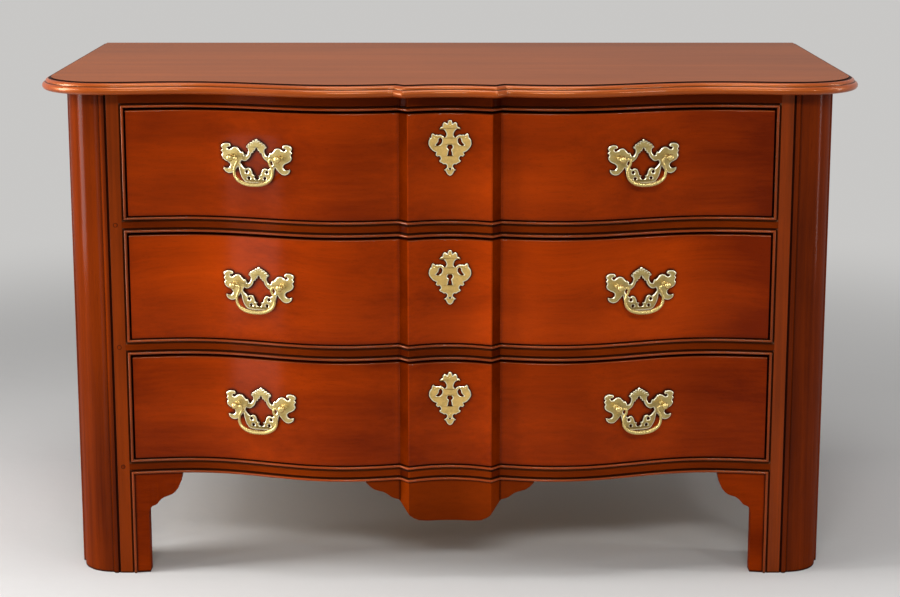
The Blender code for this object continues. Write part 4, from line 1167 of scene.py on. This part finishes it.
class CHEST_OT_top(bpy.types.Operator):
    """Build the top board with its moulded edge"""

    bl_idname = "chest.top"
    bl_label = "Top board"

    def execute(self, context):
        rings = []
        for inset, height in top_profile():
            rings.append([(x, y, TOP_UNDERSIDE_Z + height) for x, y in top_outline(inset)])
        board = drawn_out("top_board", rings)
        layers = [finishes["top"], finishes["polish"], finishes["top_edge"]]
        dressed(board, layers, "carcase", ["top"], top_layer)
        return {"FINISHED"}


class CHEST_OT_posts(bpy.types.Operator):
    """Build the two reeded front posts"""

    bl_idname = "chest.posts"
    bl_label = "Front posts"

    def execute(self, context):
        height = TOP_UNDERSIDE_Z - CONTACT_GAP
        for side, side_name in SIDES:
            line = [(side * (CASE_HALF_WIDTH - inward), FACE_Y + back) for inward, back in post_section()]
            rings = [[(x, y, z) for x, y in line] for z in (0, height)]
            post = drawn_out(f"post_{side_name}", rings)
            layers = [finishes["post"], finishes[f"{side_name}_stile"]]
            dressed(post, layers, "carcase", [f"front_post_{side_name}"], on_stile)
        return {"FINISHED"}


class CHEST_OT_rails(bpy.types.Operator):
    """Build the four rails of the front"""

    bl_idname = "chest.rails"
    bl_label = "Rails"

    def execute(self, context):
        # The rails' returns take the dark rim finish as painted shade
        layers = [finishes["rail"], finishes["rim"]]
        for name in RAILS:
            dressed(build_rail(name), layers, "carcase", [name], on_return)
        return {"FINISHED"}


class CHEST_OT_mouldings(bpy.types.Operator):
    """Build the mitred beads round the openings and down the feet"""

    bl_idname = "chest.mouldings"
    bl_label = "Mouldings"

    def execute(self, context):
        # The quirks and the beads' inner sides take the old polish as painted shade
        layers = [finishes["bead"], finishes["polish"]]
        for row_name, below, above in zip(ROWS, RAILS, RAILS[1:]):
            moulding = opening_moulding(f"{row_name}_opening_moulding", high(below, Z), low(above, Z))
            dressed(moulding, layers, "carcase", layer_of=in_recess)
        dressed(foot_moulding("foot_moulding"), layers, "carcase", layer_of=in_recess)
        return {"FINISHED"}


class CHEST_OT_brackets(bpy.types.Operator):
    """Build the scrolled foot brackets and the centre pendant"""

    bl_idname = "chest.brackets"
    bl_label = "Brackets and pendant"

    def execute(self, context):
        rounding = context.scene.chest_sizes.bracket_rounding
        top = FOOT_HEIGHT - CONTACT_GAP
        outer = OPENING_HALF_WIDTH - CONTACT_GAP
        back = FACE_Y + BRACKET_THICKNESS
        for side, side_name in SIDES:
            rings = []
            for place, bottom in bracket_stations():
                rings.append(board_ring(side * (outer - place), bottom, top, back, rounding))
            bracket = drawn_out(f"bracket_{side_name}", rings)
            dressed(bracket, [finishes["bracket"]], "carcase", [f"foot_bracket_{side_name}"])
        back = FACE_Y + PENDANT_BACK_REACH
        rings = [board_ring(x, top - drop, top, back, rounding) for x, drop in pendant_stations()]
        pendant = drawn_out("pendant", rings)
        dressed(pendant, [finishes["rail"]], "carcase", ["centre_pendant"])
        return {"FINISHED"}


class CHEST_OT_fronts(bpy.types.Operator):
    """Build the three shaped drawer fronts"""

    bl_idname = "chest.fronts"
    bl_label = "Drawer fronts"

    def execute(self, context):
        rounding = context.scene.chest_sizes.front_rounding
        half_width = DRAWER_HALF_WIDTH - FRONT_TRIM
        back = FACE_Y + FRONT_INNER_SETBACK
        turns = spaced(0, math.pi / 2, FRONT_EDGE_STEPS)
        for row_name in ROWS:
            node = f"{row_name}_drawer_front"
            bottom, top = low(node, Z), high(node, Z) - FRONT_TRIM
            section = [(rounding * (1 - math.sin(a)), bottom + rounding * (1 - math.cos(a))) for a in turns]
            section += [(rounding * (1 - math.cos(a)), top - rounding * (1 - math.sin(a))) for a in turns]
            lines = [front_line(inset, half_width=half_width) for inset, _ in section]
            rings = []
            for index in range(len(lines[0])):
                ring = [(*line[index], z) for line, (_, z) in zip(lines, section)]
                x = lines[0][index][0]
                rings.append(ring + [(x, back, top), (x, back, bottom)])
            front = drawn_out(f"{row_name}_front", rings)
            layers = [finishes[key] for key in (f"{row_name}_front", "rim", "end_grain", "bead")]
            dressed(front, layers, f"{row_name}_drawer", [node], front_layer)
        return {"FINISHED"}


class CHEST_OT_handles(bpy.types.Operator):
    """Build the pierced handle plates with their posts and nuts, and the bails"""

    bl_idname = "chest.handles"
    bl_label = "Handles"

    def execute(self, context):
        sizes = context.scene.chest_sizes
        plate = self.plate(sizes)
        bail = self.bail(sizes)
        for row_name in ROWS:
            for _, side_name in SIDES:
                seat = bail_seat(row_name, side_name)
                hung = placed(copied(f"{row_name}_{side_name}_bail_wire", bail), seat)
                dressed(hung, [finishes["brass_wire"]], f"{row_name}_bail_{side_name}",
                        [f"{row_name}_bail_{side_name}"])
                back = seat @ Matrix.Translation((0, BAIL_STANDOFF + sizes.plate_thickness, 0))
                fixed = placed(copied(f"{row_name}_{side_name}_plate", plate), back)
                dressed(fixed, [], f"{row_name}_drawer", [f"{row_name}_handle_plate_{side_name}"])
        for pattern in (plate, bail):
            bpy.data.objects.remove(pattern)
        return {"FINISHED"}

    def plate(self, sizes):
        """A pierced plate with its two posts and their nuts."""
        outlines = [mirrored(sized(PLATE_OUTLINE_SHARES, PLATE_HALF_WIDTH))]
        outlines.append(mirrored(sized(PLATE_WINDOW_SHARES, PLATE_HALF_WIDTH)))
        for x, z in sized(LOBE_HOLE_SHARES, PLATE_HALF_WIDTH):
            outlines += [hole((side * x, z), LOBE_HOLE_RADIUS, HOLE_SIDES) for side, _ in SIDES]
        parts = [cut_plate("plate_pattern", outlines, sizes.plate_thickness, sizes.plate_bevel,
                           finishes["brass"])]
        axis = -sizes.plate_thickness - BAIL_STANDOFF
        shank = [(SHANK_RADIUS, SHANK_LENGTH), (SHANK_RADIUS, COLLAR_PROFILE[0][1])]
        neck = (NECK_RADIUS, axis + NECK_SETBACK)
        knob = rounded_head(KNOB_RADIUS, axis + KNOB_SETBACK, KNOB_LENGTH)
        for side, _ in SIDES:
            post = turned("post", [*shank, *COLLAR_PROFILE, neck, *knob])
            post.data.materials.append(finishes["brass_wire"])
            nut = turned("nut", [(NUT_RADIUS, y) for y in NUT_ENDS], NUT_SIDES)
            nut.data.materials.append(finishes["brass"])
            for part in (post, nut):
                parts.append(placed(part, Matrix.Translation((side * BAIL_POST_SPACING / 2, 0, 0))))
        return joined("plate_pattern", parts)

    def bail(self, sizes):
        """A bail with its two pins, thickest at the middle of its grip."""
        pin_end = BAIL_POST_SPACING / 2 - POST_HEAD_RADIUS + BAIL_PIN_DEPTH
        half = [(pin_end, 0, BAIL_PIN_RADIUS)]
        for place, drop, grip in zip(BAIL_PLACE_SHARES, BAIL_DROP_SHARES, BAIL_GRIP_SHARES):
            radius = sizes.bail_arm_radius + (sizes.bail_grip_radius - sizes.bail_arm_radius) * grip
            half.append((place * BAIL_HALF_WIDTH, -drop * BAIL_DROP, radius))
        half[1] = (*half[1][:2], BAIL_PIN_RADIUS)
        whole = half + [(-x, z, radius) for x, z, radius in reversed(half[:-1])]
        deselect_all()
        bpy.ops.curve.primitive_bezier_curve_add()
        wire = active_piece("bail_pattern")
        curve = wire.data
        curve.splines.clear()
        spline = curve.splines.new("BEZIER")
        spline.bezier_points.add(len(whole) - 1)
        for knot, (x, z, radius) in zip(spline.bezier_points, whole):
            knot.co = (x, 0, z)
            knot.radius = radius / sizes.bail_grip_radius
            knot.handle_left_type = knot.handle_right_type = "AUTO"
        curve.resolution_u = BAIL_CURVE_STEPS
        curve.bevel_depth = sizes.bail_grip_radius
        curve.bevel_resolution = WIRE_SIDES
        curve.use_fill_caps = True
        bpy.ops.object.convert(target="MESH")
        return settle_surface(active_piece("bail_pattern"))


class CHEST_OT_keyhole_plates(bpy.types.Operator):
    """Build the keyhole plates, bent to the dish of the block"""

    bl_idname = "chest.keyhole_plates"
    bl_label = "Keyhole plates"

    def execute(self, context):
        sizes = context.scene.chest_sizes
        outlines = [mirrored(sized(KEYPLATE_OUTLINE_SHARES, KEYPLATE_HEIGHT))]
        comma = sized(COMMA_CUT_SHARES, KEYPLATE_HEIGHT)
        outlines += [comma, [(-x, z) for x, z in comma]]
        slot = sized(KEYHOLE_SLOT_SHARES, KEYPLATE_HEIGHT)
        neck = math.asin(min(1, slot[0][0] / KEYHOLE_RADIUS))
        bow = arc((0, 0), KEYHOLE_RADIUS, math.pi * 3 / 2 - neck, -math.pi / 2 + neck, ROUND_STEPS)
        outlines.append(bow + slot[1:] + [(-x, z) for x, z in reversed(slot[1:])])
        outlines.append(hole((0, -KEYPLATE_HOLE_DROP), KEYPLATE_HOLE_RADIUS, PIN_HOLE_SIDES))
        pattern = cut_plate("keyplate_pattern", outlines, sizes.keyplate_thickness, sizes.plate_bevel,
                            finishes["keyplate_brass"])
        bpy.ops.object.mode_set(mode="EDIT")
        for step in range(-PLATE_BEND_CUTS, PLATE_BEND_CUTS + 1):
            bpy.ops.mesh.select_all(action="SELECT")
            bpy.ops.mesh.bisect(plane_co=(step * PLATE_BEND_STEP, 0, 0), plane_no=(1, 0, 0))
        bpy.ops.object.mode_set(mode="OBJECT")
        for corner in pattern.data.vertices:
            corner.co.y -= block_reach(corner.co.x, 0)
        for row, row_name in enumerate(ROWS):
            floor, ceiling = high(RAILS[row], Z), low(RAILS[row + 1], Z)
            seat = (0, FACE_Y - CONTACT_GAP, (floor + ceiling) / 2 + KEYPLATE_RISES[row])
            plate = placed(copied(f"{row_name}_keyhole_brass", pattern), Matrix.Translation(seat))
            dressed(plate, [], f"{row_name}_drawer", [f"{row_name}_keyhole_plate"])
            pins = placed(self.pins(row_name, sizes.keyplate_thickness), Matrix.Translation(seat))
            dressed(pins, [finishes["brass_wire"]], f"{row_name}_drawer")
        bpy.data.objects.remove(pattern)
        return {"FINISHED"}

    def pins(self, row_name, thickness):
        """The four pins that hold a keyhole plate, on its face."""
        foot = (PIN_RADIUS, -thickness * PIN_FOOT_SHARE)
        head = rounded_head(PIN_RADIUS, -thickness, PIN_HEIGHT, PIN_STEPS)[2:]
        pins = []
        for x, z in PIN_PLACES:
            pin = turned("pin", [foot, *head], PIN_SIDES)
            pins.append(placed(pin, Matrix.Translation((x, -block_reach(x, 0), z))))
        return joined(f"{row_name}_keyhole_pins", pins)


class CHEST_OT_pegs(bpy.types.Operator):
    """Build the three wooden pegs in the left stile"""

    bl_idname = "chest.pegs"
    bl_label = "Pegs"

    def execute(self, context):
        radius = context.scene.chest_sizes.peg_radius
        x = -(OPENING_HALF_WIDTH + FRAME_WIDTH + STILE_WIDTH / 2)
        pattern = turned("peg", [(radius, PEG_DEPTH)] + [(radius * share, -rise) for share, rise in PEG_HEAD])
        layers = [finishes["peg"], finishes["polish"]]
        for index, rail in enumerate(RAILS[:3]):
            seat = Vector((x, FACE_Y, (low(rail, Z) + high(rail, Z)) / 2))
            peg = placed(copied(f"peg_{index + 1}", pattern), Matrix.Translation(seat))
            dressed(peg, layers, "carcase",
                    layer_of=lambda face: (face.center - seat).xz.length > radius * PEG_RIM_SHARE)
        bpy.data.objects.remove(pattern)
        return {"FINISHED"}


class CHEST_OT_carcase(bpy.types.Operator):
    """Finish the carcase and drawer parts that keep their own shapes"""

    bl_idname = "chest.carcase"
    bl_label = "Carcase and drawer parts"

    def execute(self, context):
        front_to_back = ("runner", "guide", "kicker", "drawer_side")
        for name, node in frame["nodes"].items():
            if node.hide_render:
                continue
            if name.startswith(("side_", "rear_post_")):
                finish = finishes["side"]
            elif any(word in name for word in front_to_back):
                finish = finishes["inner_y"]
            else:
                finish = finishes["inner_x"]
            node.data.materials.clear()
            node.data.materials.append(finish)
        return {"FINISHED"}


class CHEST_OT_stage(bpy.types.Operator):
    """Set up the floor, the soft studio light and the camera"""

    bl_idname = "chest.stage"
    bl_label = "Stage"

    def execute(self, context):
        colour = tuple(context.scene.chest_colours.floor)
        self.floor(colour)
        self.world(colour)
        for lamp in LAMPS:
            self.lamp(*lamp)
        deselect_all()
        pitch = math.radians(90 - CAMERA_PITCH)
        bpy.ops.object.camera_add(location=CAMERA_PLACE, rotation=(pitch, 0, 0))
        camera = bpy.context.object
        camera.name = "Camera"
        camera.data.sensor_width = CAMERA_SENSOR
        camera.data.lens = CAMERA_LENS
        camera.data.shift_y = CAMERA_SHIFT
        context.scene.camera = camera
        context.scene.view_settings.view_transform = "Standard"
        return {"FINISHED"}

    def floor(self, colour):
        """A matt floor that glows like the background from some way out."""
        deselect_all()
        bpy.ops.mesh.primitive_circle_add(vertices=FLOOR_SIDES, radius=FLOOR_RADIUS, fill_type="NGON")
        floor = active_piece("floor")
        recipe = Finish("pale_floor")
        grain = recipe.noise(recipe.place, (30, 30, 30), 3.0)
        tint = recipe.mixed(grain * 0.1, colour, toned(colour, 0.9))
        recipe.complete(tint, 0.85 + grain * 0.05, grain, 0.0005, Specular_IOR_Level=0.1)
        reach = recipe.node("ShaderNodeVectorMath", {0: recipe.place}, "Value", operation="LENGTH")
        start, end = FLOOR_FADE
        far = recipe.node("ShaderNodeMapRange", {"Value": reach, "From Min": start, "From Max": end},
                          interpolation_type="SMOOTHSTEP")
        glow = recipe.node("ShaderNodeEmission", {"Color": colour, "Strength": 1.0})
        base = Wire(recipe, recipe.shader.outputs[0])
        whole = recipe.node("ShaderNodeMixShader", {0: far * recipe.seen_ray(), 1: base, 2: glow})
        recipe.feed(recipe.surface, whole)
        floor.data.materials.append(recipe.material)

    def world(self, colour):
        """The floor's colour where the background is seen, and a dimmer room as light."""
        world = bpy.data.worlds.new("Studio")
        bpy.context.scene.world = world
        recipe = Recipe(world, "World Output")
        recipe.tree.nodes.remove(recipe.tree.nodes["Background"])
        room = recipe.node("ShaderNodeBackground", {"Color": ROOM_COLOUR})
        seen = recipe.node("ShaderNodeBackground", {"Color": colour})
        whole = recipe.node("ShaderNodeMixShader", {0: recipe.seen_ray(), 1: room, 2: seen})
        recipe.feed(recipe.surface, whole)

    def lamp(self, name, place, aim, size, power, spread):
        deselect_all()
        turn = (Vector(aim) - Vector(place)).to_track_quat("-Z", "Y").to_euler()
        bpy.ops.object.light_add(type="AREA", location=place, rotation=turn)
        lamp = bpy.context.object
        lamp.name = name
        lamp.data.shape = "RECTANGLE"
        lamp.data.size, lamp.data.size_y = size
        lamp.data.energy = power
        lamp.data.spread = math.radians(spread)
        lamp.visible_camera = False


STEPS = (
    CHEST_OT_finishes, CHEST_OT_top, CHEST_OT_posts, CHEST_OT_rails, CHEST_OT_mouldings,
    CHEST_OT_brackets, CHEST_OT_fronts, CHEST_OT_handles, CHEST_OT_keyhole_plates, CHEST_OT_pegs,
    CHEST_OT_carcase, CHEST_OT_stage,
)


class CHEST_PT_build(bpy.types.Panel):
    """Buttons that build the chest step by step"""

    bl_idname = "CHEST_PT_build"
    bl_label = "Chest of drawers"
    bl_space_type = "VIEW_3D"
    bl_region_type = "UI"
    bl_category = "Chest"

    def draw(self, context):
        for step in STEPS:
            self.layout.operator(step.bl_idname)
        for group in (context.scene.chest_sizes, context.scene.chest_colours):
            for name in group.bl_rna.properties.keys():
                if name not in ("rna_type", "name"):
                    self.layout.prop(group, name)


CLASSES = (ChestSizes, ChestColours, *STEPS, CHEST_PT_build)


def register():
    for piece in CLASSES:
        bpy.utils.register_class(piece)
    bpy.types.Scene.chest_sizes = bpy.props.PointerProperty(type=ChestSizes)
    bpy.types.Scene.chest_colours = bpy.props.PointerProperty(type=ChestColours)


def unregister():
    del bpy.types.Scene.chest_colours
    del bpy.types.Scene.chest_sizes
    for piece in reversed(CLASSES):
        bpy.utils.unregister_class(piece)


def main():
    register()
    bpy.ops.chest.finishes()
    bpy.ops.chest.top()
    bpy.ops.chest.posts()
    bpy.ops.chest.rails()
    bpy.ops.chest.mouldings()
    bpy.ops.chest.brackets()
    bpy.ops.chest.fronts()
    bpy.ops.chest.handles()
    bpy.ops.chest.keyhole_plates()
    bpy.ops.chest.pegs()
    bpy.ops.chest.carcase()
    bpy.ops.chest.stage()


if __name__ == "__main__":
    main()
